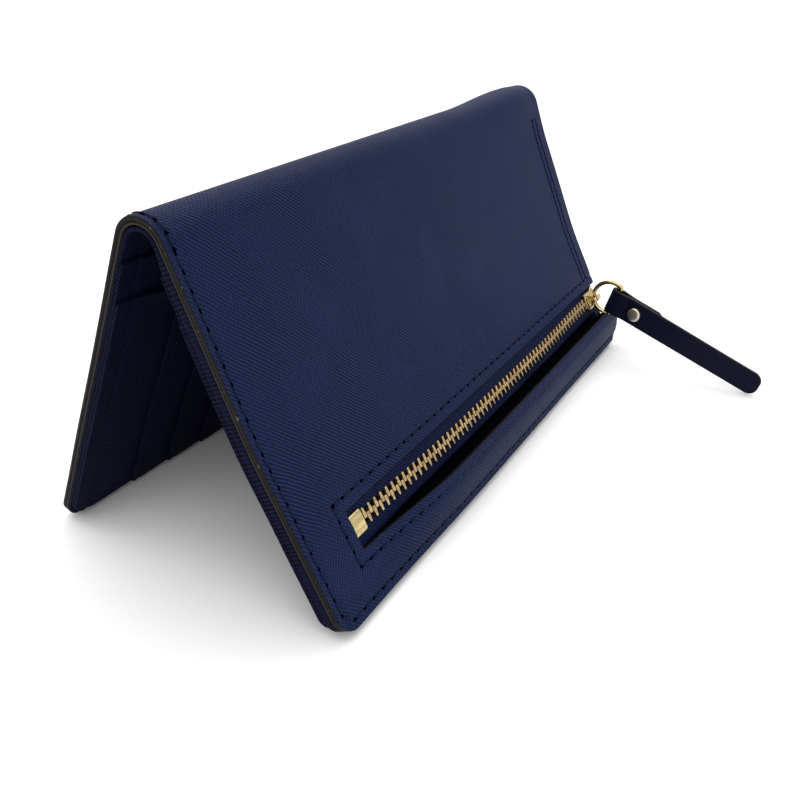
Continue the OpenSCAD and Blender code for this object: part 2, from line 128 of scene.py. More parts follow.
# Stitches: pitch, length, and how far in from an edge or out from the window a seam runs
STITCH_PITCH = 3.94 * MM
STITCH_LEN = 2.9 * MM
INSET = 2 * MM
FRAME_GAP = 3 * MM

# How far the inner layers stop short of the flaps' lower edges, and the pockets' and bag's upper ends
FRONT_FOOT = 0.96 * MM
BACK_FOOT = 2.52 * MM
POCKET_TOP = 4.3 * MM
POCKET_STEP = 10 * MM
BAG_TOP = 7.2 * MM
SLOTS = 6
SLOT_STEP = 13 * MM

# Stage: sky, then name, heading, height, strength and width of each light, and the camera
SKY = 0.82
LIGHTS = (("top_light", 40, 62, 1.8, 80), ("side_light", 215, 48, 0.8, 70))
CAMERA_AT = (-0.20301, -0.09306, 0.13621)
CAMERA_TURN = (29.892, 29.049, -0.914)
CAMERA_LENS = 38.057


def linear(code):
    """A hex colour in sRGB as linear red, green and blue."""
    parts = [int(code[i : i + 2], 16) / 255 for i in (0, 2, 4)]
    return [c / 12.92 if c <= 0.04045 else ((c + 0.055) / 1.055) ** 2.4 for c in parts]


def ease(low, high, value):
    """Smooth step from 0 at low to 1 at high."""
    t = min(1.0, max(0.0, (value - low) / (high - low)))
    return t * t * (3 - 2 * t)


class WalletShape(bpy.types.PropertyGroup):
    """Sizes of the soft shape that leather takes in use."""

    strip_bow: bpy.props.FloatProperty(
        name="Strip bow",
        description="How far the strip below the zip stands off the zip at its upper edge",
        default=3.8 * MM,
        unit="LENGTH",
    )
    ripple: bpy.props.FloatProperty(
        name="Ripple",
        description="Height of the slow waves in the flaps",
        default=0.35 * MM,
        unit="LENGTH",
    )
    gape: bpy.props.FloatProperty(
        name="Pocket gape",
        description="How far the mouths of the inside pockets hang open",
        default=3.2 * MM,
        unit="LENGTH",
    )
    thread: bpy.props.FloatProperty(
        name="Thread",
        description="Thickness of the sewing thread",
        default=0.5 * MM,
        unit="LENGTH",
    )


class WalletColours(bpy.types.PropertyGroup):
    """Colours of the wallet's finishes."""

    leather: bpy.props.FloatVectorProperty(
        name="Leather", description="Colour of the outer leather on its ridges",
        subtype="COLOR", size=3, default=linear("152148"),
    )
    # Dark navy lining leather, set darker still as painted shade for the dim inside of the wallet.
    lining: bpy.props.FloatVectorProperty(
        name="Lining", description="Colour of the lining, pocket and card slot leather",
        subtype="COLOR", size=3, default=linear("090F29"),
    )
    strap: bpy.props.FloatVectorProperty(
        name="Strap", description="Colour of the smooth leather of the pull",
        subtype="COLOR", size=3, default=linear("0B0E20"),
    )
    paint: bpy.props.FloatVectorProperty(
        name="Edge paint", description="Colour of the painted edges",
        subtype="COLOR", size=3, default=linear("0F0D0B"),
    )
    tape: bpy.props.FloatVectorProperty(
        name="Zip tape", description="Colour of the woven zip tape and the bag cloth",
        subtype="COLOR", size=3, default=linear("0C1738"),
    )
    thread: bpy.props.FloatVectorProperty(
        name="Thread", description="Colour of the sewing thread",
        subtype="COLOR", size=3, default=linear("0C1430"),
    )
    brass: bpy.props.FloatVectorProperty(
        name="Brass", description="Colour of the zip's teeth",
        subtype="COLOR", size=3, default=linear("CDB488"),
    )
    gold: bpy.props.FloatVectorProperty(
        name="Pale gold", description="Colour of the plated slider, ring and stops",
        subtype="COLOR", size=3, default=linear("D2BE8C"),
    )
    nickel: bpy.props.FloatVectorProperty(
        name="Nickel", description="Colour of the rivet",
        subtype="COLOR", size=3, default=linear("DCD4BE"),
    )


# Materials


def add(tree, kind, inputs=None, **settings):
    """One node with its settings and its inputs, which are values or other nodes' outputs."""
    made = tree.nodes.new(kind)
    for key, value in settings.items():
        setattr(made, key, value)
    for key, value in (inputs or {}).items():
        if isinstance(value, bpy.types.NodeSocket):
            tree.links.new(value, made.inputs[key])
        else:
            made.inputs[key].default_value = value
    return made


def surface(name, **constants):
    """A material of one Principled surface, with constants on the shader's own sockets."""
    made = bpy.data.materials.new(name)
    made.use_nodes = True
    made.node_tree.nodes.clear()
    sockets = {key.replace("_", " "): value for key, value in constants.items()}
    shader = add(made.node_tree, "ShaderNodeBsdfPrincipled", sockets)
    add(made.node_tree, "ShaderNodeOutputMaterial", {"Surface": shader.outputs[0]})
    return made, made.node_tree, shader


def shade(colour, factor=1.0):
    """A colour made darker or lighter, as red, green, blue and alpha."""
    return [min(1.0, c * factor) for c in colour] + [1.0]


def coordinates(tree, source):
    """Output with the piece's own flat pattern, in metres, or its Object coordinates."""
    if source == "flat":
        return add(tree, "ShaderNodeUVMap", uv_map="flat").outputs["UV"]
    return add(tree, "ShaderNodeTexCoord").outputs["Object"]


def patches(tree, at, size, detail):
    """Noise whose patches are about that size, as its node."""
    return add(tree, "ShaderNodeTexNoise", {"Vector": at, "Scale": 1 / size, "Detail": detail})


def combined(tree, operation, *values):
    """Output of a Math node."""
    return add(tree, "ShaderNodeMath", dict(enumerate(values)), operation=operation).outputs[0]


def remapped(tree, value, low, high, start=0.0, end=1.0, **settings):
    """A value between start and end, made to run from low to high."""
    spans = {"Value": value, "From Min": start, "From Max": end, "To Min": low, "To Max": high}
    return add(tree, "ShaderNodeMapRange", spans, **settings).outputs[0]


def mixed(tree, factor, first, second):
    """Colour between two colours."""
    return add(tree, "ShaderNodeMix", {"Factor": factor, 6: first, 7: second}, data_type="RGBA").outputs[2]


def dress(tree, shader, paint, gloss, height, strength, distance):
    """Gives a surface its colour, its roughness and a bump of that height."""
    tree.links.new(paint, shader.inputs["Base Color"])
    tree.links.new(gloss, shader.inputs["Roughness"])
    bump = add(tree, "ShaderNodeBump", {"Height": height, "Strength": strength, "Distance": distance})
    tree.links.new(bump.outputs[0], shader.inputs["Normal"])


def embossed_leather(name, colour, pitch, depth, roughness, gloss_level):
    """Calf leather pressed with a hot plate into a fine crosshatch, and sealed with a thin satin finish.

    The plate leaves two sets of rounded ridges that cross on the diagonal, so light breaks into short
    strokes that lean one way in one place and the other way in the next. It bit less towards the pull end.
    """
    made, tree, shader = surface(name, Specular_IOR_Level=gloss_level)
    flat = coordinates(tree, "flat")
    sway = patches(tree, flat, 9 * MM, 2.0).outputs["Color"]
    centred = add(tree, "ShaderNodeVectorMath", {0: sway, 1: (0.5, 0.5, 0.5)}, operation="SUBTRACT").outputs[0]
    reach = {0: centred, 1: (1.2 * MM,) * 3, 2: flat}
    pushed = add(tree, "ShaderNodeVectorMath", reach, operation="MULTIPLY_ADD").outputs[0]
    patch = patches(tree, flat, 22 * MM, 1.0).outputs["Fac"]
    ridges = []
    for angle, strong, weak in ((46, 1.0, 0.75), (-44, 0.25, 0.9)):
        turn = (2 * math.cos(math.radians(angle)) / pitch, 2 * math.sin(math.radians(angle)) / pitch, 0)
        along = add(tree, "ShaderNodeVectorMath", {0: pushed, 1: turn}, operation="DOT_PRODUCT")
        wave = combined(tree, "PINGPONG", along.outputs["Value"], 1.0)
        ridges.append(combined(tree, "MULTIPLY", wave, remapped(tree, patch, weak, strong, 0.35, 0.65)))
    height = combined(tree, "SMOOTH_MAX", *ridges, 0.2)
    pore = patches(tree, flat, 0.8 * MM, 3.0).outputs["Fac"]
    grain = combined(tree, "MULTIPLY_ADD", pore, 0.6, height)
    along = add(tree, "ShaderNodeSeparateXYZ", {"Vector": flat}).outputs["X"]
    pressed = remapped(tree, along, 1.0, 0.3, 0.0, 60 * MM, interpolation_type="SMOOTHSTEP")
    # Colour follows the emboss height: painted shade in the valleys and painted highlight on the ridges, mixed
    # with the pores' mottle. Shallower pressing towards the pull end weakens both.
    valley_shade_and_ridge_light = remapped(tree, grain, -0.5, 0.5, 0.45, 1.3)
    share = combined(tree, "MULTIPLY_ADD", valley_shade_and_ridge_light, pressed, 0.5)
    paint = mixed(tree, share, shade(colour, 0.25), shade([c * 1.3 + 0.004 for c in colour]))
    gloss = remapped(tree, grain, roughness + 0.12, roughness - 0.06, 0.0, 1.3)
    dress(tree, shader, paint, gloss, grain, pressed, depth)
    return made


def painted_edge(name, colour, roughness=0.45):
    """Resin edge paint, brushed on over the cut leather: satin, slightly lumpy, with pale rubbed spots."""
    made, tree, shader = surface(name, Specular_IOR_Level=0.1)
    lumps = patches(tree, coordinates(tree, "object"), 1.6 * MM, 4.0).outputs["Fac"]
    rubbed = remapped(tree, lumps, 0.0, 0.35, 0.66, 0.76)
    paint = mixed(tree, rubbed, shade(colour), shade(linear("8C7F70")))
    gloss = remapped(tree, lumps, roughness - 0.1, roughness + 0.15)
    dress(tree, shader, paint, gloss, lumps, 0.5, 0.12 * MM)
    return made


def bonded_board(name):
    """Bonded leather board: pressed fibres, matt and brown, with dark edge paint on all but its inner rim."""
    made, tree, shader = surface(name, Specular_IOR_Level=0.2)
    fibre = patches(tree, coordinates(tree, "object"), 0.5 * MM, 5.0).outputs["Fac"]
    depth = add(tree, "ShaderNodeAttribute", attribute_name="depth").outputs["Fac"]
    rim = remapped(tree, depth, 0.0, 1.0, 1.45 * MM, 1.6 * MM)
    fibres = mixed(tree, fibre, shade(linear("14110E")), shade(linear("3B342A")))
    paint = mixed(tree, rim, shade(linear("0F0D0B")), fibres)
    dress(tree, shader, paint, remapped(tree, fibre, 0.6, 0.9), fibre, 0.6, 0.1 * MM)
    return made


def smooth_leather(name, colour):
    """Smooth split leather with a pigmented top coat: even, dark, with a fine pebble and soft shine."""
    made, tree, shader = surface(name, Specular_IOR_Level=0.07)
    flat = coordinates(tree, "flat")
    pebble = add(tree, "ShaderNodeTexVoronoi", {"Vector": flat, "Scale": 1 / (0.55 * MM)}, feature="SMOOTH_F1")
    cloud = patches(tree, flat, 8 * MM, 4.0).outputs["Fac"]
    paint = mixed(tree, cloud, shade(colour, 0.7), shade(colour, 1.35))
    gloss = remapped(tree, cloud, 0.36, 0.56)
    dress(tree, shader, paint, gloss, pebble.outputs["Distance"], 0.4, 0.06 * MM)
    return made


def herringbone_tape(name, colour):
    """Polyester zip tape woven in a herringbone twill: matt, with ribs that change their slant every 2.9 mm.

    The ribs are 0.85 mm apart, as wide as two woven ones, so that they show across the tape.
    """
    made, tree, shader = surface(name, Specular_IOR_Level=0.08)
    flat = coordinates(tree, "flat")
    parts = add(tree, "ShaderNodeSeparateXYZ", {"Vector": flat})
    zigzag = combined(tree, "PINGPONG", parts.outputs["Y"], 2.9 * MM)
    slant = combined(tree, "ADD", parts.outputs["X"], zigzag)
    rib = combined(tree, "PINGPONG", combined(tree, "MULTIPLY", slant, 1 / (0.6 * MM)), 1.0)
    fuzz = patches(tree, flat, 0.2 * MM, 2.0).outputs["Fac"]
    height = combined(tree, "MULTIPLY_ADD", fuzz, 0.2, rib)
    # Dark between the ribs and lighter on them: painted shade in the weave's grooves and painted light on the
    # ribs.
    paint = mixed(tree, height, shade(colour, 0.08), shade(colour, 1.3))
    dress(tree, shader, paint, remapped(tree, height, 0.85, 0.6), height, 0.8, 0.15 * MM)
    return made


def sewing_thread(name, colour, gloss_level):
    """Bonded nylon thread of three twisted plies: waxy, with a fine uneven twist."""
    made, tree, shader = surface(name, Specular_IOR_Level=gloss_level)
    ply = patches(tree, coordinates(tree, "object"), 0.35 * MM, 2.0).outputs["Fac"]
    paint = mixed(tree, ply, shade(colour, 0.6), shade(colour, 1.4))
    dress(tree, shader, paint, remapped(tree, ply, 0.45, 0.7), ply, 0.5, 0.1 * MM)
    return made


def worn_metal(name, colour, dark, roughness, patina):
    """Plated or bare cast metal, tumbled smooth: bright where it is rubbed, with brown tarnish in patches."""
    made, tree, shader = surface(name, Metallic=1.0)
    place_at = coordinates(tree, "object")
    stain = patches(tree, place_at, 1.1 * MM, 4.0).outputs["Fac"]
    paint = mixed(tree, remapped(tree, stain, 0.0, patina, 0.42, 0.7), shade(colour), shade(dark))
    gloss = remapped(tree, stain, roughness - 0.08, roughness + 0.14)
    scratch = patches(tree, place_at, 0.25 * MM, 2.0).outputs["Fac"]
    dress(tree, shader, paint, gloss, scratch, 0.15, 0.03 * MM)
    return made


def studio_paper(name):
    """Seamless matt background paper, nearly white."""
    made, tree, shader = surface(name, Specular_IOR_Level=0.1, Roughness=0.9)
    tooth = patches(tree, coordinates(tree, "object"), 2 * MM, 2.0).outputs["Fac"]
    paint = mixed(tree, tooth, (0.9, 0.9, 0.9, 1), (0.93, 0.93, 0.93, 1))
    tree.links.new(paint, shader.inputs["Base Color"])
    return made


def finish(kind):
    """The wallet's finish of that name, made once."""
    if kind in bpy.data.materials:
        return bpy.data.materials[kind]
    colours = bpy.context.scene.wallet_colours
    makers = {
        "crosshatch_calf": lambda: embossed_leather(kind, colours.leather, 0.8 * MM, 0.13 * MM, 0.5, 0.06),
        "crosshatch_lining": lambda: embossed_leather(kind, colours.lining, 0.7 * MM, 0.08 * MM, 0.6, 0.03),
        "edge_paint": lambda: painted_edge(kind, colours.paint),
        "strap_edge_paint": lambda: painted_edge(kind, linear("1A1614"), 0.4),
        "bonded_board": lambda: bonded_board(kind),
        "smooth_leather": lambda: smooth_leather(kind, colours.strap),
        "herringbone_tape": lambda: herringbone_tape(kind, colours.tape),
        "nylon_thread": lambda: sewing_thread(kind, colours.thread, 0.1),
        # Near-black and without shine: painted shade for the inside of the needle holes.
        "needle_hole_shade": lambda: sewing_thread(kind, linear("020307"), 0.0),
        # Near-black and without shine: painted shadow for the deep gap between the lower zip tape and the strip
        # below it.
        "painted_shadow_black": lambda: sewing_thread(kind, linear("040509"), 0.0),
        "antique_brass": lambda: worn_metal(kind, colours.brass, linear("6B5330"), 0.27, 0.6),
        "pale_gold_plate": lambda: worn_metal(kind, colours.gold, linear("A88C5A"), 0.2, 0.5),
        "satin_nickel": lambda: worn_metal(kind, colours.nickel, linear("8F8778"), 0.28, 0.4),
        "studio_paper": lambda: studio_paper(kind),
    }
    return makers[kind]()


# Shapes


def down(lean):
    """Unit vector down a flap's face, as distance from the middle and height."""
    return Vector((math.sin(lean), -math.cos(lean)))


def out(lean):
    """Unit vector out of a flap's face."""
    return Vector((math.cos(lean), math.sin(lean)))


def outer_face(side, s):
    """Point of the outer face at s from the hinge line, and the face's lean. On the fold, s is negative."""
    if s <= -SKIRT:
        lean = TENT + (-SKIRT - s) / FOLD_R
        return FOLD_CENTRE + FOLD_R * out(lean), lean
    if s <= BEND_FROM or side == BACK:
        return HINGE + s * down(TENT), TENT
    middle = min(s - BEND_FROM, BEND)
    lean = TENT + FLARE * middle / BEND
    radius = BEND / FLARE
    turned = radius * Vector((math.cos(TENT) - math.cos(lean), math.sin(TENT) - math.sin(lean)))
    return HINGE + BEND_FROM * down(TENT) + turned + (s - BEND_FROM - middle) * down(lean), lean


def place(side, x, s, n):
    """Point of the wallet at x along it, s from the hinge line and n out of the outer face."""
    point, lean = outer_face(side, s)
    point = point + n * out(lean)
    return Vector((x, MIDDLE_Y + side * point.x, point.y))


def face_frame(side, x, s, n):
    """Matrix whose X runs along the wallet, Y up the face and Z out of it."""
    lean = outer_face(side, s)[1]
    up, outward = -down(lean), out(lean)
    columns = Matrix(((1, 0, 0), (0, side * up.x, side * outward.x), (0, up.y, outward.y)))
    return Matrix.Translation(place(side, x, s, n)) @ columns.to_4x4()


def spread(start, *spans):
    """Positions from start on, through spans of (end, number of steps)."""
    found = [start]
    for end, steps in spans:
        begin = found[-1]
        found += [begin + (end - begin) * (i + 1) / steps for i in range(steps)]
    return found


def ripple(side, x, s):
    """Slow wave of a flap, which dies out towards the fold and the zip."""
    size = bpy.context.scene.wallet_shape.ripple * ease(0, 20 * MM, s)
    if side == FRONT:
        size *= 1 - math.exp(-(((FLAP - s - ZIP_V) / (9 * MM)) ** 2))
    return size * noise.noise(Vector((x / 0.038, s / 0.034, 3.7 * side)))


def bow(x):
    """Share, along the wallet, of the strip's set away from the zip."""
    return ease(WINDOW_LEFT - 6 * MM, WINDOW_LEFT + 42 * MM, x)


def stack_bow(x, s):
    """How far the layers under the strip follow it."""
    return 0.6 * MM * bow(x) * (1 - ease(4 * MM, 15 * MM, FLAP - s))


def strip_turn(v):
    """Share, up the strip, of its set away from the zip."""
    share = min(1.0, max(0.0, (v - 1 * MM) / (WINDOW_BOTTOM - 1 * MM)))
    return math.sin(1.8 * share) / math.sin(1.8)


def chain_sag(x):
    """How far the zip hangs down between its box stop and the slider's end."""
    first, last = WINDOW_LEFT + 4 * MM, RIGHT - 12 * MM
    return 1.0 * MM * ease(first, first + 45 * MM, x) * ease(last, last - 45 * MM, x)


def crown(x, s):
    """Outward bulge of the fold near the pull end."""
    rise = ease(RIGHT - 52 * MM, RIGHT - 16 * MM, x) * (1 - 0.4 * ease(RIGHT - 12 * MM, RIGHT, x))
    return 1.3 * MM * rise * (1 - ease(APEX + 2 * MM, 12 * MM, s))


def seam_dent(x, v):
    """How deep the thread pulls the front cover down beside its seams."""
    gaps = [abs(x - LEFT - INSET)]
    if x > WINDOW_LEFT - FRAME_GAP:
        gaps += [abs(v - WINDOW_TOP - FRAME_GAP), abs(v - WINDOW_BOTTOM + FRAME_GAP)]
    if WINDOW_BOTTOM - FRAME_GAP < v < WINDOW_TOP + FRAME_GAP:
        gaps += [abs(x - WINDOW_LEFT + FRAME_GAP)]
    if x > LEFT + 4 * MM:
        gaps += [abs(v - INSET)]
    return 0.22 * MM * sum(math.exp(-((gap / (0.75 * MM)) ** 2)) for gap in gaps)


def cover_lift(x, s):
    """Outward set of the front cover in use."""
    v = FLAP - s
    lift = ripple(FRONT, x, s) + crown(x, s) - seam_dent(x, v)
    if v < WINDOW_BOTTOM + 0.1 * MM:
        lift += bow(x) * (0.6 * MM + bpy.context.scene.wallet_shape.strip_bow * strip_turn(v))
    return lift


def cover_shape(x, s, n):
    """Where the front cover's leather lies: the strip below the zip leans out and sinks a little."""
    v = FLAP - s
    sink = bow(x) * 0.9 * MM * (v / WINDOW_BOTTOM) ** 2 if v < WINDOW_BOTTOM + 0.1 * MM else 0.0
    return x, s + sink, n + cover_lift(x, s)


def soften_edges(bm, edges, width, segments):
    """Rounds a bmesh's edges."""
    bmesh.ops.bevel(
        bm, geom=edges, offset=width, segments=segments, profile=0.5,
        affect="EDGES", material=-1, clamp_overlap=True,
    )


def flat_sheet(xs, ss, top, bottom, corners, hole, soften):
    """A flat pattern of leather, with rounded corners, a cut-out and soft edges.

    X runs along the wallet, Y up and Z out. Where the sheet ends at the fold's top it meets the other half
    of its layer, so its edge there is left sharp.
    """
    ys = sorted(-s for s in ss)
    meets_fold = abs(ss[0] - APEX) < 1e-9
    bm = bmesh.new()
    bmesh.ops.create_grid(bm, x_segments=len(xs) - 1, y_segments=len(ys) - 1, size=0.5)
    for v in bm.verts:
        v.co = (xs[round((v.co.x + 0.5) * (len(xs) - 1))], ys[round((v.co.y + 0.5) * (len(ys) - 1))], 0)
    if hole:
        x0, y0, y1 = hole
        middles = [(f, f.calc_center_median()) for f in bm.faces]
        inside = [f for f, middle in middles if middle.x > x0 and y0 < middle.y < y1]
        bmesh.ops.delete(bm, geom=inside, context="FACES")
    for x, y, radius in corners:
        for v in bm.verts:
            a = radius - abs(v.co.x - x)
            b = radius - abs(v.co.y - y)
            if a > 0 and b > 0:
                pull = max(a, b) / math.hypot(a, b)
                v.co.x = x + math.copysign(radius - a * pull, xs[0] + xs[-1] - 2 * x)
                v.co.y = y + math.copysign(radius - b * pull, ys[0] + ys[-1] - 2 * y)
    bmesh.ops.solidify(bm, geom=bm.faces[:], thickness=top - bottom)
    middle = sum(v.co.z for v in bm.verts) / len(bm.verts)
    for v in bm.verts:
        v.co.z = top if v.co.z > middle else bottom
    bmesh.ops.recalc_face_normals(bm, faces=bm.faces[:])
    rim = {f for f in bm.faces if abs(f.normal.z) < 0.5}
    edges = [e for e in bm.edges if len(e.link_faces) == 2 and len(rim.intersection(e.link_faces)) == 1]
    if meets_fold:
        joint = {e for e in edges if min(v.co.y for v in e.verts) > ys[-1] - 1e-6}
        for e in joint:
            e.smooth = False
        edges = [e for e in edges if e not in joint]
    soften_edges(bm, edges, soften, 3)
    bm.normal_update()
    return bm


def to_object(bm, name, materials):
    """A mesh object of a bmesh, with its materials."""
    mesh = bpy.data.meshes.new(name)
    bm.to_mesh(mesh)
    bm.free()
    for material in materials:
        mesh.materials.append(finish(material))
    mesh.shade_smooth()
    made = bpy.data.objects.new(name, mesh)
    bpy.context.scene.collection.objects.link(made)
    return made


def layer(
    name, side, xs, ss, top, bottom, materials,
    corners=(), hole=None, soften=0.25 * MM, shape=None, shadow_below=0.0,
):
    """A leather layer of a flap: cut flat, marked with its flat pattern, then laid over the wallet's outline.

    Its rim takes the last material, and so does all of it below a given height, where that last material is
    painted shadow.
    """
    bm = flat_sheet(xs, ss, top, bottom, corners, hole, soften)
    flat = bm.loops.layers.uv.new("flat")
    depth = bm.verts.layers.float.new("depth")
    for f in bm.faces:
        # Faces below the given height take the last material: painted shadow where the gap under the strip lies
        # in deep shade.
        below = shadow_below and FLAP + f.calc_center_median().y < shadow_below
        rim = not shadow_below and abs(f.normal.z) < 0.8
        f.material_index = len(materials) - 1 if below or rim else 0
        for loop in f.loops:
            loop[flat].uv = loop.vert.co.xy
    for v in bm.verts:
        x, s, n = v.co.x, -v.co.y, v.co.z
        v[depth] = -n
        if shape:
            x, s, n = shape(x, s, n)
        v.co = place(side, x, s, n)
    if side == BACK:
        bmesh.ops.reverse_faces(bm, faces=bm.faces[:])
    return to_object(bm, name, materials)


def fold_blend(piece, side):
    """Bakes a piece's transform into its mesh, the same way for either side."""
    if side == FRONT:
        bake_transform(piece)
    else:
        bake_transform(piece)
    return piece


def full_length():
    """Positions along the whole wallet, close together near both ends."""
    return spread(
        LEFT, (LEFT + CORNER, 10), (LEFT + 8 * MM, 5), (WINDOW_LEFT - 4.4 * MM, 3),
        (WINDOW_LEFT - 1.6 * MM, 8), (WINDOW_LEFT, 3), (RIGHT - 8 * MM, 72), (RIGHT - CORNER, 3), (RIGHT, 10),
    )


def lower_corners(end):
    """Both lower corners of a sheet whose pattern ends at s."""
    return [(LEFT, -end, CORNER), (RIGHT, -end, CORNER)]


class WALLET_OT_cover(bpy.types.Operator):
    """Outer leather of both flaps, which meets over the fold, with the zip's window and painted edges"""

    bl_idname = "wallet.cover"
    bl_label = "Cover"

    def execute(self, context):
        over_fold = ((APEX + 0.3 * MM, 1), (-SKIRT, 14), (0, 2), (4 * MM, 3))
        looks = ("crosshatch_calf", "edge_paint")
        ss = spread(
            APEX, *over_fold, (BEND_FROM, 14), (BEND_FROM + BEND, 8),
            (FLAP - WINDOW_TOP - 4.4 * MM, 6), (FLAP - WINDOW_TOP - 1.6 * MM, 8), (FLAP - WINDOW_TOP, 3),
            (FLAP - WINDOW_BOTTOM, 6), (FLAP - WINDOW_BOTTOM + 1.6 * MM, 3),
            (FLAP - WINDOW_BOTTOM + 4.4 * MM, 8), (FLAP - CORNER, 6),
            (FLAP - 3.4 * MM, 4), (FLAP - 0.6 * MM, 8), (FLAP, 2),
        )
        front = layer(
            "front_cover_leather", FRONT, full_length(), ss, 0, COVER, looks,
            corners=lower_corners(FLAP),
            hole=(WINDOW_LEFT, WINDOW_BOTTOM - FLAP, WINDOW_TOP - FLAP),
            soften=0.32 * MM,
            shape=cover_shape,
        )
        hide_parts("front_cover", "spine_cover")
        fold_blend(front, FRONT)
        back = layer(
            "back_cover_leather", BACK, full_length(),
            spread(APEX, *over_fold, (BACK_FLAP - CORNER, 40), (BACK_FLAP, 8)),
            0, COVER, looks,
            corners=lower_corners(BACK_FLAP),
            soften=0.4 * MM,
            shape=lambda x, s, n: (x, s, n + ripple(BACK, x, s) + crown(x, s)),
        )
        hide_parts("back_cover")
        fold_blend(back, BACK)
        return {"FINISHED"}


class WALLET_OT_boards(bpy.types.Operator):
    """Board behind the outer leather, whose inner rim shows as a thin brown line at the wallet's ends"""

    bl_idname = "wallet.boards"
    bl_label = "Boards"

    def execute(self, context):
        over_fold = ((-SKIRT, 12), (0, 2), (4 * MM, 3))
        for side, length, nodes in (
            (FRONT, FLAP, ("front_board", "spine_board")),
            (BACK, BACK_FLAP, ("back_board",)),
        ):
            hole = None
            if side == FRONT:
                hole = (WINDOW_LEFT - 6.2 * MM, ZIP_V - 13.6 * MM - FLAP, ZIP_V + 13.6 * MM - FLAP)
            foot = ((length - 31.8 * MM, 24), (length - CORNER + 0.4 * MM, 16), (length, 8))

            def shape(x, s, n, side=side):
                follow = stack_bow(x, s) if side == FRONT else 0
                return x, s, n + ripple(side, x, s) + crown(x, s) + follow

            board = layer(
                nodes[0] + "_rim", side, full_length(), spread(APEX, *over_fold, *foot),
                COVER - 0.02 * MM, BOARD + 0.02 * MM, ("bonded_board",),
                corners=lower_corners(length), hole=hole, soften=0.08 * MM, shape=shape,
            )
            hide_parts(*nodes)
            fold_blend(board, side)
        return {"FINISHED"}


class WALLET_OT_linings(bpy.types.Operator):
    """Lining leather inside both flaps and the fold, with rolled ends"""

    bl_idname = "wallet.linings"
    bl_label = "Linings"

    def execute(self, context):
        over_fold = ((-SKIRT, 10), (0, 2), (6 * MM, 5))

        def front_shape(x, s, n):
            hem = min(x - LEFT, RIGHT - x, FLAP - s) < 6.1 * MM
            spine = 1 - ease(-SKIRT, 6 * MM, s)
            share = (n - FRONT_POCKETS) / (BOARD - FRONT_POCKETS)
            flap_top = BOARD if hem else FRONT_LINING
            depth = FRONT_POCKETS + share * (flap_top - FRONT_POCKETS)
            fold_depth = SPINE_LINING - LINING_T * (1 - share)
            set_by = ripple(FRONT, x, s) + crown(x, s) + stack_bow(x, s) + gutter(x)
            return x, s, depth + (fold_depth - depth) * spine + set_by

        def back_shape(x, s, n):
            lift = SPINE_LINING - BOARD
            set_by = ripple(BACK, x, s) + crown(x, s) + gutter(x)
            return x, s, n + lift * (1 - ease(-SKIRT, 5 * MM, s)) + set_by

        front = layer(
            "front_lining_leather", FRONT, full_length(),
            spread(APEX, *over_fold, (FLAP - 6.2 * MM, 40), (FLAP - 6 * MM, 1), (FLAP, 8)),
            BOARD - 0.02 * MM, FRONT_POCKETS, ("crosshatch_lining",),
            corners=lower_corners(FLAP), soften=0.5 * MM, shape=front_shape,
        )
        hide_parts("front_lining", "spine_lining")
        fold_blend(front, FRONT)
        back = layer(
            "back_lining_leather", BACK, full_length(),
            spread(APEX, *over_fold, (BACK_FLAP - CORNER, 40), (BACK_FLAP, 8)),
            BOARD - 0.02 * MM, BOARD - LINING_T, ("crosshatch_lining",),
            corners=lower_corners(BACK_FLAP), soften=0.4 * MM, shape=back_shape,
        )
        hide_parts("back_lining")
        fold_blend(back, BACK)
        return {"FINISHED"}


def gutter(x):
    """Dip along the seam that closes the pockets at both ends, outward from the inside of a flap."""
    dips = [math.exp(-(((x - end) / (0.9 * MM)) ** 2)) for end in (LEFT + 4.5 * MM, RIGHT - 4.5 * MM)]
    return 0.3 * MM * sum(dips)


def mouth(x, s, top, size):
    """How far a pocket hangs open at x and s, from its top edge down."""
    ends = ease(LEFT + 4 * MM, LEFT + 26 * MM, x) * ease(RIGHT - 4 * MM, RIGHT - 26 * MM, x)
    return size * ends * math.exp(-max(0.0, s - top) / (3.2 * MM))


def pocket_shape(side, top, size, lowest):
    """Where a pocket's leather lies: sewn down round three sides and hanging open along its top edge."""

    def shape(x, s, n):
        open_by = mouth(x, s, top, size)
        below = stack_bow(x, s) if side == FRONT else 0
        return x, min(s + 0.35 * open_by, lowest), n - open_by + ripple(side, x, s) + gutter(x) + below

    return shape


class WALLET_OT_pockets(bpy.types.Operator):
    """Two long pockets inside each flap, whose mouths hang open between their sewn ends"""

    bl_idname = "wallet.pockets"
    bl_label = "Pockets"

    def execute(self, context):
        gape = context.scene.wallet_shape.gape
        for side, first, thick, end, share in (
            (FRONT, FRONT_POCKETS, FRONT_POCKET_T, FLAP - FRONT_FOOT, 0.12),
            (BACK, BACK_POCKETS, BACK_POCKET_T, BACK_FLAP - BACK_FOOT, 1.0),
        ):
            name, body = ("front", "front_flap") if side == FRONT else ("back", "back_flap")
            for k in (0, 1):
                top = POCKET_TOP + POCKET_STEP * k
                pocket = layer(
                    f"{name}_pocket_{k + 1}_leather", side, full_length(),
                    spread(top, (top + 8 * MM, 12), (end - CORNER, 30), (end, 6)),
                    first - k * thick - 0.02 * MM, first - (k + 1) * thick,
                    ("crosshatch_lining",),
                    corners=lower_corners(end),
                    soften=0.25 * MM,
                    shape=pocket_shape(side, top, gape * share, end),
                )
                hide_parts(f"{name}_pocket_{k + 1}")
                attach(pocket, body)
        return {"FINISHED"}


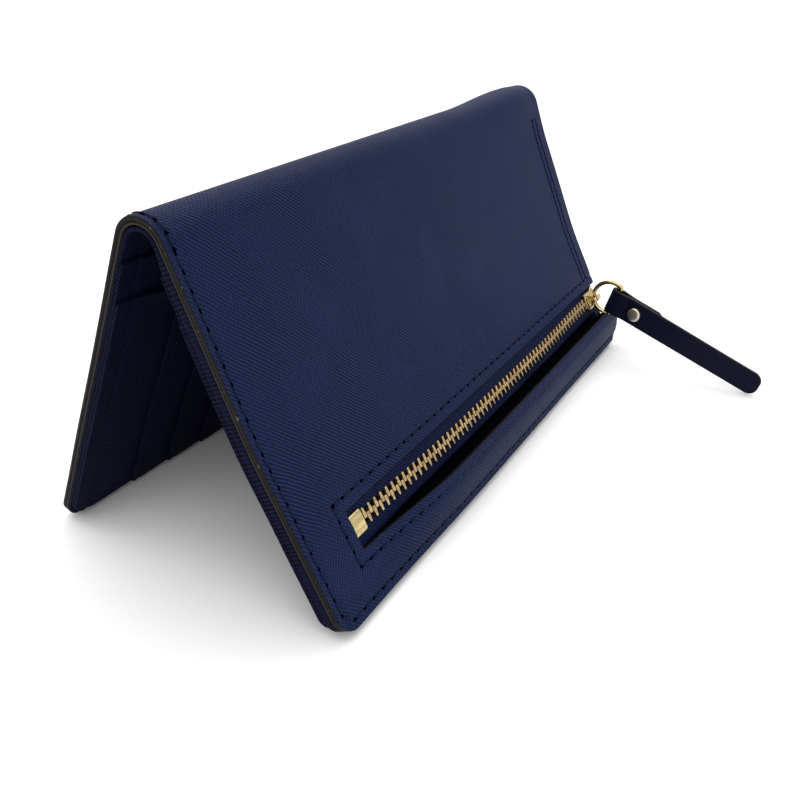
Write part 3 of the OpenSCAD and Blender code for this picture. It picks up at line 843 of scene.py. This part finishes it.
class WALLET_OT_card_slots(bpy.types.Operator):
    """Six card slots, stacked like stairs, each with a lifted open edge and a crease beside it"""

    bl_idname = "wallet.card_slots"
    bl_label = "Card slots"

    def execute(self, context):
        end = BACK_FLAP - BACK_FOOT
        top = end - 67 * MM
        right = RIGHT - 5 * MM
        for k in range(SLOTS):
            edge = LEFT + 19 * MM + SLOT_STEP * k

            def shape(x, s, n, edge=edge):
                near = max(0.0, x - edge)
                lift = 0.25 * MM * math.exp(-near / (2.5 * MM))
                crease = 0.22 * MM * math.exp(-(((near - 3 * MM) / (0.5 * MM)) ** 2))
                wave = 0.12 * MM * noise.noise(Vector((edge * 40, s / 0.02, 1.3)))
                return x + wave, s, n - lift + crease + ripple(BACK, x, s) + wave

            made = layer(
                f"card_slot_{k + 1}_leather", BACK,
                spread(edge, (edge + 6 * MM, 16), (edge + 16 * MM, 8), (right - 3 * MM, 16), (right, 4)),
                spread(top, (top + 3 * MM, 5), (end - 3 * MM, 26), (end, 5)),
                CARD_SLOTS - k * SLOT_T - 0.02 * MM, CARD_SLOTS - (k + 1) * SLOT_T,
                ("crosshatch_lining",),
                corners=[(edge, -end, 2.4 * MM), (edge, -top, 1.6 * MM), (right, -top, 2.4 * MM)],
                soften=0.2 * MM, shape=shape,
            )
            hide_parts(f"card_slot_{k + 1}")
            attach(made, "back_flap")
        return {"FINISHED"}


class WALLET_OT_bag(bpy.types.Operator):
    """Two thin cloth leaves of the zip pocket's bag, hidden between the board and the lining"""

    bl_idname = "wallet.bag"
    bl_label = "Zip bag"

    def execute(self, context):
        left, right, top = LEFT + 8 * MM, RIGHT - 8 * MM, BAG_TOP

        def shape(x, s, n):
            return x, s, n + 0.04 * MM * noise.noise(Vector((x / 0.01, s / 0.02, 5)))

        for name, node, depth, low in (
            ("bag_cloth_front", "zip_bag_front", BOARD, ZIP_V + 4.7 * MM),
            ("bag_cloth_back", "zip_bag_back", -3.15 * MM, 7 * MM),
        ):
            cloth = layer(
                name, FRONT, spread(left, (right, 60)), spread(top, (FLAP - low, 30)),
                depth - 0.03 * MM, depth - 0.19 * MM, ("herringbone_tape",),
                soften=0.03 * MM, shape=shape,
            )
            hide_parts(node)
            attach(cloth, "front_flap")
        return {"FINISHED"}


class WALLET_OT_zip_tapes(bpy.types.Operator):
    """Upper and lower zip tapes, with the corded edge that the teeth are clamped on"""

    bl_idname = "wallet.zip_tapes"
    bl_label = "Zip tapes"

    def execute(self, context):
        left, right = WINDOW_LEFT - 6 * MM, RIGHT - 0.9 * MM
        sewn = 9.8 * MM
        for name, way in (("upper", 1), ("lower", -1)):
            near = ZIP_V + way * (CHAIN_W / 2 - 0.9 * MM)
            far = ZIP_V + way * (CHAIN_W / 2 + 11 * MM)
            ends = sorted((FLAP - near, FLAP - far))

            def shape(x, s, n, near=near, way=way):
                v = FLAP - s
                off = abs(v - near)
                cord = 0.16 * MM * math.exp(-(((off - 0.5 * MM) / (0.35 * MM)) ** 2))
                sag = 0.25 * MM * math.exp(-(((off - 3 * MM) / (1.2 * MM)) ** 2))
                sag *= noise.noise(Vector((x / 0.012, 0, near * 90)))
                hang = chain_sag(x) * math.exp(-((off / (3.5 * MM)) ** 2))
                depth = n + (cord if n > (COVER + COVER - TAPE_T) / 2 else -cord) + sag
                if way > 0:
                    return x, s + hang, depth
                follow = 1 - ease(sewn, sewn + 1.4 * MM, v)
                fall = 1.6 * MM * (1 - ease(12.1 * MM, 13.5 * MM, v)) * (1 - follow) * bow(x)
                lift = bow(x) * (0.6 * MM + context.scene.wallet_shape.strip_bow * strip_turn(min(v, sewn)))
                return x, s + hang + 0.3 * MM * follow * bow(x), depth + follow * lift - fall

            # Below 12.6 mm up the flap the tape takes near-black painted shadow for the deep gap under the
            # strip; only the lower tape reaches down there.
            tape = layer(
                f"zip_tape_{name}_cloth", FRONT, spread(left, (right, 110)),
                spread(ends[0], (ends[0] + 7 * MM, 26), (ends[1] - 7 * MM, 2), (ends[1], 26)),
                COVER - 0.02 * MM, COVER - TAPE_T + 0.02 * MM, ("herringbone_tape", "painted_shadow_black"),
                soften=0.12 * MM, shape=shape, shadow_below=12.6 * MM,
            )
            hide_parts("zip_tape_" + name)
            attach(tape, "front_flap")
        return {"FINISHED"}


def plate(bm, outline, low, high, bevel, segments=2):
    """A flat plate of that outline between two heights, with rounded edges."""
    verts = [bm.verts.new((x, y, low)) for x, y in outline]
    base = bm.faces.new(verts)
    raised = bmesh.ops.extrude_face_region(bm, geom=[base])
    lifted = [g for g in raised["geom"] if isinstance(g, bmesh.types.BMVert)]
    bmesh.ops.translate(bm, vec=(0, 0, high - low), verts=lifted)
    faces = {f for v in verts + lifted for f in v.link_faces}
    bmesh.ops.recalc_face_normals(bm, faces=list(faces))
    edges = list({e for f in faces for e in f.edges if e.calc_face_angle(0) > 0.3})
    soften_edges(bm, edges, bevel, segments)


class WALLET_OT_teeth(bpy.types.Operator):
    """Sixty-one cast teeth on each tape, each a rounded head that sits between two of the other side's"""

    bl_idname = "wallet.teeth"
    bl_label = "Zip teeth"

    def execute(self, context):
        head = TOOTH_PITCH / 2 - 0.24 * MM
        root = head * 0.7
        half = CHAIN_W / 2 - 0.25 * MM
        outline = [
            (-root / 2, half), (-root / 2, 1.2 * MM), (-head / 2, 0.8 * MM), (-head / 2, -0.3 * MM),
            (-head / 2 + 0.2 * MM, -0.5 * MM), (head / 2 - 0.2 * MM, -0.5 * MM), (head / 2, -0.3 * MM),
            (head / 2, 0.8 * MM), (root / 2, 1.2 * MM), (root / 2, half),
        ]
        first = WINDOW_LEFT + 5 * MM
        at = face_frame(FRONT, 0, FLAP - ZIP_V, 0)
        for name, way, offset in (("upper", 1, 0.25), ("lower", -1, 0.75)):
            bm = bmesh.new()
            for i in range(TEETH):
                one = bmesh.new()
                plate(one, outline, TOOTH_MID - TOOTH_T / 2, TOOTH_MID + TOOTH_T / 2, 0.26 * MM)
                tilt = Matrix.Rotation(0.05 * noise.noise(Vector((i * 1.7, way * 3.1, 0.5))), 4, "Z")
                spot = first + (i + offset) * TOOTH_PITCH
                step = Matrix.Translation((spot, -chain_sag(spot), 0))
                mirror = Matrix.Diagonal((1, way, 1, 1))
                move_by(one, at @ step @ mirror @ tilt)
                if way < 0:
                    bmesh.ops.reverse_faces(one, faces=one.faces[:])
                mesh = bpy.data.meshes.new("tooth")
                one.to_mesh(mesh)
                one.free()
                bm.from_mesh(mesh)
                bpy.data.meshes.remove(mesh)
            teeth = to_object(bm, f"zip_teeth_{name}_cast", ("antique_brass",))
            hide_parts("zip_teeth_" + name)
            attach(teeth, "front_flap")
        return {"FINISHED"}


class WALLET_OT_stops(bpy.types.Operator):
    """Ribbed box stop at the zip's closed-off end, and the two small stops by the slider"""

    bl_idname = "wallet.stops"
    bl_label = "Zip stops"

    def execute(self, context):
        at = face_frame(FRONT, 0, FLAP - ZIP_V, 0)
        length, width = 4.4 * MM, 5.5 * MM
        bm = bmesh.new()
        bmesh.ops.create_grid(bm, x_segments=8, y_segments=24, size=0.5)
        for v in bm.verts:
            across = v.co.y * 2
            height = 0.28 * MM * (1 - across**4) + 0.035 * MM * math.cos(across * math.pi * 2.6)
            v.co = (v.co.x * length, v.co.y * width, height)
        bmesh.ops.solidify(bm, geom=bm.faces[:], thickness=2.1 * MM)
        low = min(v.co.z for v in bm.verts)
        for v in bm.verts:
            if v.co.z < -1 * MM:
                v.co.z = low
        bmesh.ops.recalc_face_normals(bm, faces=bm.faces[:])
        edges = [e for e in bm.edges if e.calc_face_angle(0) > 0.9]
        soften_edges(bm, edges, 0.22 * MM, 3)
        move = Matrix.Translation((WINDOW_LEFT + 0.2 * MM + length / 2, 0, TOOTH_MID + TOOTH_T / 2 + 0.02 * MM))
        move_by(bm, at @ move)
        stop = to_object(bm, "zip_box_stop", ("pale_gold_plate",))
        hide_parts("zip_bottom_stop")
        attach(stop, "front_flap")
        metal_node("zip_top_stops", "antique_brass", 0.25 * MM)
        return {"FINISHED"}


def metal_node(name, material, bevel=0.0):
    """Gives a CAD node its metal, and soft edges where it has sharp ones."""
    node = frame["nodes"][name]
    node.data.materials.clear()
    node.data.materials.append(finish(material))
    if bevel:
        weld = node.modifiers.new("Weld", "WELD")
        weld.merge_threshold = 0.005 * MM
        round_off = node.modifiers.new("Bevel", "BEVEL")
        round_off.width = bevel
        round_off.segments = 1
        round_off.angle_limit = math.radians(35)
    return node


class WALLET_OT_slider(bpy.types.Operator):
    """Cast slider with two pointed shoulders, side flanges and the arched bridge that holds the ring"""

    bl_idname = "wallet.slider"
    bl_label = "Slider"

    def execute(self, context):
        at = face_frame(FRONT, SLIDER_X, FLAP - ZIP_V, 0)
        half, wide, tail = 4.7 * MM, 4.1 * MM, 2.9 * MM
        outline = [
            (-half, -tail + 1.0 * MM), (-half + 0.7 * MM, -tail), (0.0, -tail + 0.3 * MM),
            (0.62 * half, -wide), (0.78 * half, -wide + 0.05 * MM), (half, -tail + 1.1 * MM),
            (half - 0.5 * MM, 0),
            (half, tail - 1.1 * MM), (0.78 * half, wide - 0.05 * MM), (0.62 * half, wide),
            (0.0, tail - 0.3 * MM), (-half + 0.7 * MM, tail), (-half, tail - 1.0 * MM),
        ]
        bm = bmesh.new()
        base = bm.faces.new([bm.verts.new((x, y, -0.4 * MM)) for x, y in outline])
        for inset, rise in ((0.0, 0.42), (0.18, 0.12), (1.0, 0.3)):
            if inset:
                bmesh.ops.inset_region(bm, faces=[base], thickness=inset * MM, depth=0)
            grown = bmesh.ops.extrude_face_region(bm, geom=[base]) if not inset else None
            if grown:
                base = next(g for g in grown["geom"] if isinstance(g, bmesh.types.BMFace))
            bmesh.ops.translate(bm, vec=(0, 0, rise * MM), verts=base.verts[:])
        bmesh.ops.recalc_face_normals(bm, faces=bm.faces[:])
        for way in (-1, 1):
            y = way * (CHAIN_W / 2 + 0.43 * MM)
            flange = [
                (-half + 0.6 * MM, y - 0.28 * MM), (half - 0.8 * MM, y - 0.28 * MM),
                (half - 0.8 * MM, y + 0.28 * MM), (-half + 0.6 * MM, y + 0.28 * MM),
            ]
            plate(bm, flange, -1.05 * MM, -0.3 * MM, 0.12 * MM)
        move_by(bm, at)
        body = to_object(bm, "slider_body_cast", ("pale_gold_plate",))
        round_off = body.modifiers.new("Bevel", "BEVEL")
        round_off.width, round_off.segments, round_off.angle_limit = 0.12 * MM, 2, math.radians(18)
        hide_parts("slider_top_plate")
        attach(body, "slider")

        leg, top, wall = 2.7 * MM, 3.1 * MM, 0.9 * MM
        arch = []
        for radius, inner in ((1.1 * MM, 0.0), (0.6 * MM, wall)):
            x0, z0 = leg - inner, top - inner
            rounded = [
                (math.copysign(x0 - radius, c) + radius * math.cos(a), z0 - radius + radius * math.sin(a))
                for c, start in ((1, 0.0), (-1, math.pi / 2))
                for a in [start + math.pi / 2 * i / 5 for i in range(6)]
            ]
            line = [(x0, -0.2 * MM), *rounded, (-x0, -0.2 * MM)]
            arch += line if not inner else line[::-1]
        bm = bmesh.new()
        plate(bm, arch, -0.8 * MM, 0.8 * MM, 0.22 * MM, 3)
        stand = Matrix.Translation((0, 0, 0.25 * MM)) @ Matrix.Rotation(math.pi / 2, 4, "X")
        move_by(bm, at @ stand)
        bridge = to_object(bm, "slider_bridge_cast", ("pale_gold_plate",))
        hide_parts("slider_bridge")
        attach(bridge, "slider")
        metal_node("slider_bottom_plate", "pale_gold_plate", 0.15 * MM)
        metal_node("pull_ring", "pale_gold_plate")
        return {"FINISHED"}


def move_by(bm, matrix):
    """Moves a whole bmesh by a matrix."""
    bmesh.ops.transform(bm, matrix=matrix, verts=bm.verts[:])


def strap_frame():
    """Matrix of the strap: origin on the ring's bar, X towards the tip, Y through the leather, Z across it."""
    turn = Matrix.Rotation(-math.pi / 2, 4, "Z") @ Matrix.Rotation(RING_DROOP, 4, "Y")
    own = Matrix.Rotation(-STRAP_YAW, 4, "Z") @ Matrix.Rotation(STRAP_PITCH, 4, "Y")
    return Matrix.Translation(RING_BAR) @ turn @ own


def strap_path():
    """Middle line of the strap's leather from its tip, round the ring's bar, to the end of its short layer."""
    shut, loop = STRAP_T / 2 + 0.05 * MM, 1.6 * MM
    fold_x = -0.33 * MM
    open_x, shut_x = 1.1 * MM, 6.2 * MM
    points = [Vector((x, -shut)) for x in spread(STRAP_LEN, (shut_x, 60))]
    parting = [(x, shut + (loop - shut) * ease(shut_x, open_x, x)) for x in spread(shut_x, (open_x, 10))]
    joining = [(x, shut + (loop - shut) * ease(shut_x, open_x, x)) for x in spread(open_x, (shut_x, 10))]
    points += [Vector((x, -y)) for x, y in parting[1:]]
    points += [Vector((fold_x - loop * math.sin(a), -loop * math.cos(a))) for a in spread(0, (math.pi, 24))]
    points += [Vector(point) for point in joining]
    points += [Vector((x, shut)) for x in spread(shut_x, (STRAP_BACK, 14))[1:]]
    return points


class WALLET_OT_strap(bpy.types.Operator):
    """Pull strap: one strip of smooth leather, folded round the ring's bar, with painted edges"""

    bl_idname = "wallet.strap"
    bl_label = "Pull strap"

    def execute(self, context):
        path = strap_path()
        gone = [0.0]
        for a, b in zip(path, path[1:]):
            gone.append(gone[-1] + (b - a).length)
        total = gone[-1]
        half = STRAP_W / 2 - 0.15 * MM
        along = spread(0, (3.4 * MM, 8), (total - 3 * MM, 110), (total, 8))
        across = spread(-half, (-half + 3.4 * MM, 8), (half - 3.4 * MM, 3), (half, 8))
        bm = flat_sheet(
            along, across, STRAP_T / 2 - 0.02 * MM, -STRAP_T / 2 + 0.02 * MM,
            [(0, half, 3.4 * MM), (0, -half, 3.4 * MM), (total, half, 3 * MM), (total, -half, 3 * MM)],
            None, 0.38 * MM,
        )
        flat = bm.loops.layers.uv.new("flat")
        for f in bm.faces:
            f.material_index = 1 if abs(f.normal.z) < 0.75 else 0
            for loop in f.loops:
                loop[flat].uv = loop.vert.co.xy
        at = strap_frame()
        for v in bm.verts:
            t = min(max(v.co.x, 0.0), total)
            passed = next((k for k, g in enumerate(gone) if g >= t), len(gone) - 1)
            i = min(len(path) - 2, max(0, passed - 1))
            step = path[i + 1] - path[i]
            share = (t - gone[i]) / max(step.length, 1e-9)
            behind = path[i] - path[i - 1] if i else step
            ahead = path[i + 2] - path[i + 1] if i + 2 < len(path) else step
            heading = behind.normalized() * (1 - share) + step.normalized() + ahead.normalized() * share
            heading.normalize()
            normal = Vector((heading.y, -heading.x))
            spot = path[i] + step * share - normal * v.co.z
            free = ease(0, STRAP_LEN, spot.x)
            v.co = at @ Vector((spot.x, spot.y, v.co.y * (1 - 0.1 * free) - 0.2 * MM * free))
        bmesh.ops.recalc_face_normals(bm, faces=bm.faces[:])
        strap = to_object(bm, "pull_strap_leather", ("smooth_leather", "strap_edge_paint"))
        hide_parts("pull_strap")
        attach(strap, "strap")
        return {"FINISHED"}


class WALLET_OT_rivet(bpy.types.Operator):
    """Tubular rivet: a flat cap with a rolled rim in front, and its post and foot behind"""

    bl_idname = "wallet.rivet"
    bl_label = "Rivet"

    def execute(self, context):
        profile = [
            (2.4, 0.0), (2.45, 0.85), (2.38, 1.12), (2.18, 1.32),
            (1.95, 1.4), (1.4, 1.46), (0.7, 1.5), (0.0, 1.51),
        ]
        bm = bmesh.new()
        verts = [bm.verts.new((r * MM, 0, h * MM)) for r, h in profile]
        edges = [bm.edges.new(pair) for pair in zip(verts, verts[1:])]
        bmesh.ops.spin(
            bm, geom=verts + edges, cent=(0, 0, 0), axis=(0, 0, 1), angle=2 * math.pi, steps=48,
            use_merge=True,
        )
        bmesh.ops.remove_doubles(bm, verts=bm.verts[:], dist=0.002 * MM)
        rim = [e for e in bm.edges if e.is_boundary]
        bmesh.ops.contextual_create(bm, geom=rim)
        bmesh.ops.recalc_face_normals(bm, faces=bm.faces[:])
        move = Matrix.Translation((RIVET_X, -STRAP_T - 0.05 * MM, 0)) @ Matrix.Rotation(math.pi / 2, 4, "X")
        move_by(bm, strap_frame() @ move)
        cap = to_object(bm, "pull_rivet_cap_turned", ("satin_nickel",))
        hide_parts("pull_rivet_cap")
        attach(cap, "strap")
        metal_node("pull_rivet_post", "satin_nickel", 0.15 * MM)
        return {"FINISHED"}


def stitch_run(name, node, body, places, hole_at):
    """Stitches, and near-black painted shade for the needle holes between them, each at a matrix with X along
    the seam and Z out of it.
    """
    thread = bpy.context.scene.wallet_shape.thread
    bm = bmesh.new()
    lift, lay = Matrix.Translation((0, 0, 0.1 * MM)), Matrix.Rotation(math.pi / 2, 4, "Y")
    for at in places:
        own = at @ Matrix.Rotation(0.12, 4, "Z") @ lift @ lay
        scale = Matrix.Diagonal((thread * 0.8, thread * 1.15, STITCH_LEN, 1))
        bmesh.ops.create_uvsphere(bm, u_segments=8, v_segments=6, radius=0.5, matrix=own @ scale)
    made = to_object(bm, name, ("nylon_thread",))
    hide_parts(node)
    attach(made, body)
    bm = bmesh.new()
    # Each needle hole is a flat near-black ball on the leather, painted shade for the hole's dark inside.
    for at in hole_at:
        scale = Matrix.Diagonal((1.4 * MM, 0.8 * MM, 0.34 * MM, 1))
        bmesh.ops.create_uvsphere(bm, u_segments=8, v_segments=4, radius=0.5, matrix=at @ scale)
    holes = to_object(bm, name + "_hole_shade", ("needle_hole_shade",))
    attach(holes, body)


def seam(side, start, end, surface_at, count=None):
    """Places of stitches and of the holes between them along a straight line in the flat pattern."""
    (x0, s0), (x1, s1) = start, end
    length = math.hypot(x1 - x0, s1 - s0)
    count = count or max(1, round(length / STITCH_PITCH))
    turn = Matrix.Rotation(math.atan2(s0 - s1, x1 - x0), 4, "Z")
    found = ([], [])
    for i in range(2 * count + 1):
        t = i / (2 * count)
        x, s = x0 + (x1 - x0) * t, s0 + (s1 - s0) * t
        at = face_frame(side, x, s, surface_at(x, s)) @ turn
        found[i % 2 == 0].append(at)
    return found


def joined(*seams):
    """Several seams' stitches, and several seams' holes."""
    return [m for s in seams for m in s[0]], [m for s in seams for m in s[1]]


class WALLET_OT_stitching(bpy.types.Operator):
    """Every seam that shows on the outside: the edges, the frame and loop by the zip, and the fold's end"""

    bl_idname = "wallet.stitching"
    bl_label = "Stitching"

    def execute(self, context):
        left, right = LEFT + INSET, RIGHT - INSET
        low = FLAP - INSET
        front = joined(
            seam(FRONT, (left, FLAP - CORNER), (left, 1 * MM), cover_lift),
            seam(FRONT, (left, FLAP - CORNER), (LEFT + CORNER, low), cover_lift, 1),
            seam(FRONT, (LEFT + CORNER, low), (RIGHT - CORNER, low), cover_lift),
        )
        stitch_run("front_edge_stitches", "front_edge_thread", "front_flap", *front)

        frame_left = WINDOW_LEFT - FRAME_GAP
        above, below = FLAP - WINDOW_TOP - FRAME_GAP, FLAP - WINDOW_BOTTOM + FRAME_GAP
        loop_far, loop_near = RIGHT - 5.3 * MM, RIGHT - 8.3 * MM
        zip_frame = joined(
            seam(FRONT, (frame_left, above), (RIGHT - 4 * MM, above), cover_lift),
            seam(FRONT, (frame_left, below), (RIGHT - 2.5 * MM, below), cover_lift),
            seam(FRONT, (frame_left, below), (frame_left, above), cover_lift),
            seam(FRONT, (loop_far, above - 1 * MM), (loop_far, 4 * MM), cover_lift),
            seam(FRONT, (loop_near, above - 1 * MM), (loop_near, 4 * MM), cover_lift),
            seam(FRONT, (loop_near, 4 * MM), (loop_far, 4 * MM), cover_lift),
        )
        stitch_run("zip_frame_stitches", "zip_frame_thread", "front_flap", *zip_frame)

        rounds = joined(*(seam(side, (left, 0.3 * MM), (left, APEX), crown) for side in (FRONT, BACK)))
        stitch_run("fold_edge_stitches", "spine_edge_thread", "spine", *rounds)

        def back_face(x, s):
            return ripple(BACK, x, s)

        low = BACK_FLAP - INSET
        back = joined(
            seam(BACK, (left, BACK_FLAP - CORNER), (left, 1 * MM), back_face),
            seam(BACK, (left, BACK_FLAP - CORNER), (LEFT + CORNER, low), back_face, 1),
            seam(BACK, (right, BACK_FLAP - CORNER), (RIGHT - CORNER, low), back_face, 1),
            seam(BACK, (right, BACK_FLAP - CORNER), (right, 1 * MM), back_face),
            seam(BACK, (LEFT + CORNER, low), (RIGHT - CORNER, low), back_face),
        )
        stitch_run("back_edge_stitches", "back_edge_thread", "back_flap", *back)
        return {"FINISHED"}


class WALLET_OT_stage(bpy.types.Operator):
    """Pale paper floor, soft lights and the camera"""

    bl_idname = "wallet.stage"
    bl_label = "Stage"

    def execute(self, context):
        scene = context.scene
        bm = bmesh.new()
        bmesh.ops.create_grid(bm, x_segments=24, y_segments=24, size=4.0)
        mesh = bpy.data.meshes.new("floor")
        bm.to_mesh(mesh)
        bm.free()
        mesh.materials.append(finish("studio_paper"))
        floor = bpy.data.objects.new("floor", mesh)
        scene.collection.objects.link(floor)

        world = bpy.data.worlds.new("studio")
        scene.world = world
        world.use_nodes = True
        sky = world.node_tree.nodes["Background"]
        sky.inputs["Color"].default_value = (1.0, 1.0, 1.0, 1)
        sky.inputs["Strength"].default_value = SKY
        for name, heading, height, strength, width in LIGHTS:
            light = bpy.data.lights.new(name, "SUN")
            light.energy = strength
            light.angle = math.radians(width)
            lamp = bpy.data.objects.new(name, light)
            a, e = math.radians(heading), math.radians(height)
            towards = Vector((math.cos(a) * math.cos(e), math.sin(a) * math.cos(e), math.sin(e)))
            lamp.rotation_mode = "QUATERNION"
            lamp.rotation_quaternion = towards.to_track_quat("Z", "Y")
            scene.collection.objects.link(lamp)

        yaw, pitch, roll = (math.radians(a) for a in CAMERA_TURN)
        level_share = math.cos(pitch)
        forward = Vector((math.cos(yaw) * level_share, math.sin(yaw) * level_share, -math.sin(pitch)))
        level = Vector((math.sin(yaw), -math.cos(yaw), 0))
        dip = forward.cross(level)
        right = math.cos(roll) * level + math.sin(roll) * dip
        lower = math.cos(roll) * dip - math.sin(roll) * level
        camera = bpy.data.objects.new("camera", bpy.data.cameras.new("camera"))
        camera.data.sensor_width = 36
        camera.data.lens = CAMERA_LENS
        camera.data.clip_start, camera.data.clip_end = 0.01, 50
        facing = Matrix((right, -lower, -forward)).transposed().to_4x4()
        camera.matrix_world = Matrix.Translation(CAMERA_AT) @ facing
        scene.collection.objects.link(camera)
        scene.camera = camera
        scene.view_settings.view_transform = "Standard"
        scene.view_settings.look = "None"
        return {"FINISHED"}


OPERATORS = (
    WALLET_OT_cover,
    WALLET_OT_boards,
    WALLET_OT_linings,
    WALLET_OT_pockets,
    WALLET_OT_card_slots,
    WALLET_OT_bag,
    WALLET_OT_zip_tapes,
    WALLET_OT_teeth,
    WALLET_OT_stops,
    WALLET_OT_slider,
    WALLET_OT_strap,
    WALLET_OT_rivet,
    WALLET_OT_stitching,
    WALLET_OT_stage,
)


class WALLET_PT_panel(bpy.types.Panel):
    """Sizes, colours and steps of the wallet"""

    bl_label = "Wallet"
    bl_idname = "WALLET_PT_panel"
    bl_space_type = "VIEW_3D"
    bl_region_type = "UI"
    bl_category = "Wallet"

    def draw(self, context):
        for group in (context.scene.wallet_shape, context.scene.wallet_colours):
            box = self.layout.box()
            for name in group.__annotations__:
                box.prop(group, name)
        for operator in OPERATORS:
            self.layout.operator(operator.bl_idname)


CLASSES = (WalletShape, WalletColours, *OPERATORS, WALLET_PT_panel)


def register():
    """Registers the add-on's classes and its settings on the scene."""
    for item in CLASSES:
        bpy.utils.register_class(item)
    bpy.types.Scene.wallet_shape = bpy.props.PointerProperty(type=WalletShape)
    bpy.types.Scene.wallet_colours = bpy.props.PointerProperty(type=WalletColours)


def unregister():
    """Takes the add-on's classes and settings away again."""
    del bpy.types.Scene.wallet_colours
    del bpy.types.Scene.wallet_shape
    for item in reversed(CLASSES):
        bpy.utils.unregister_class(item)


def main():
    """Builds every piece in order."""
    register()
    for operator in OPERATORS:
        group, name = operator.bl_idname.split(".")
        getattr(getattr(bpy.ops, group), name)()


if __name__ == "__main__":
    main()
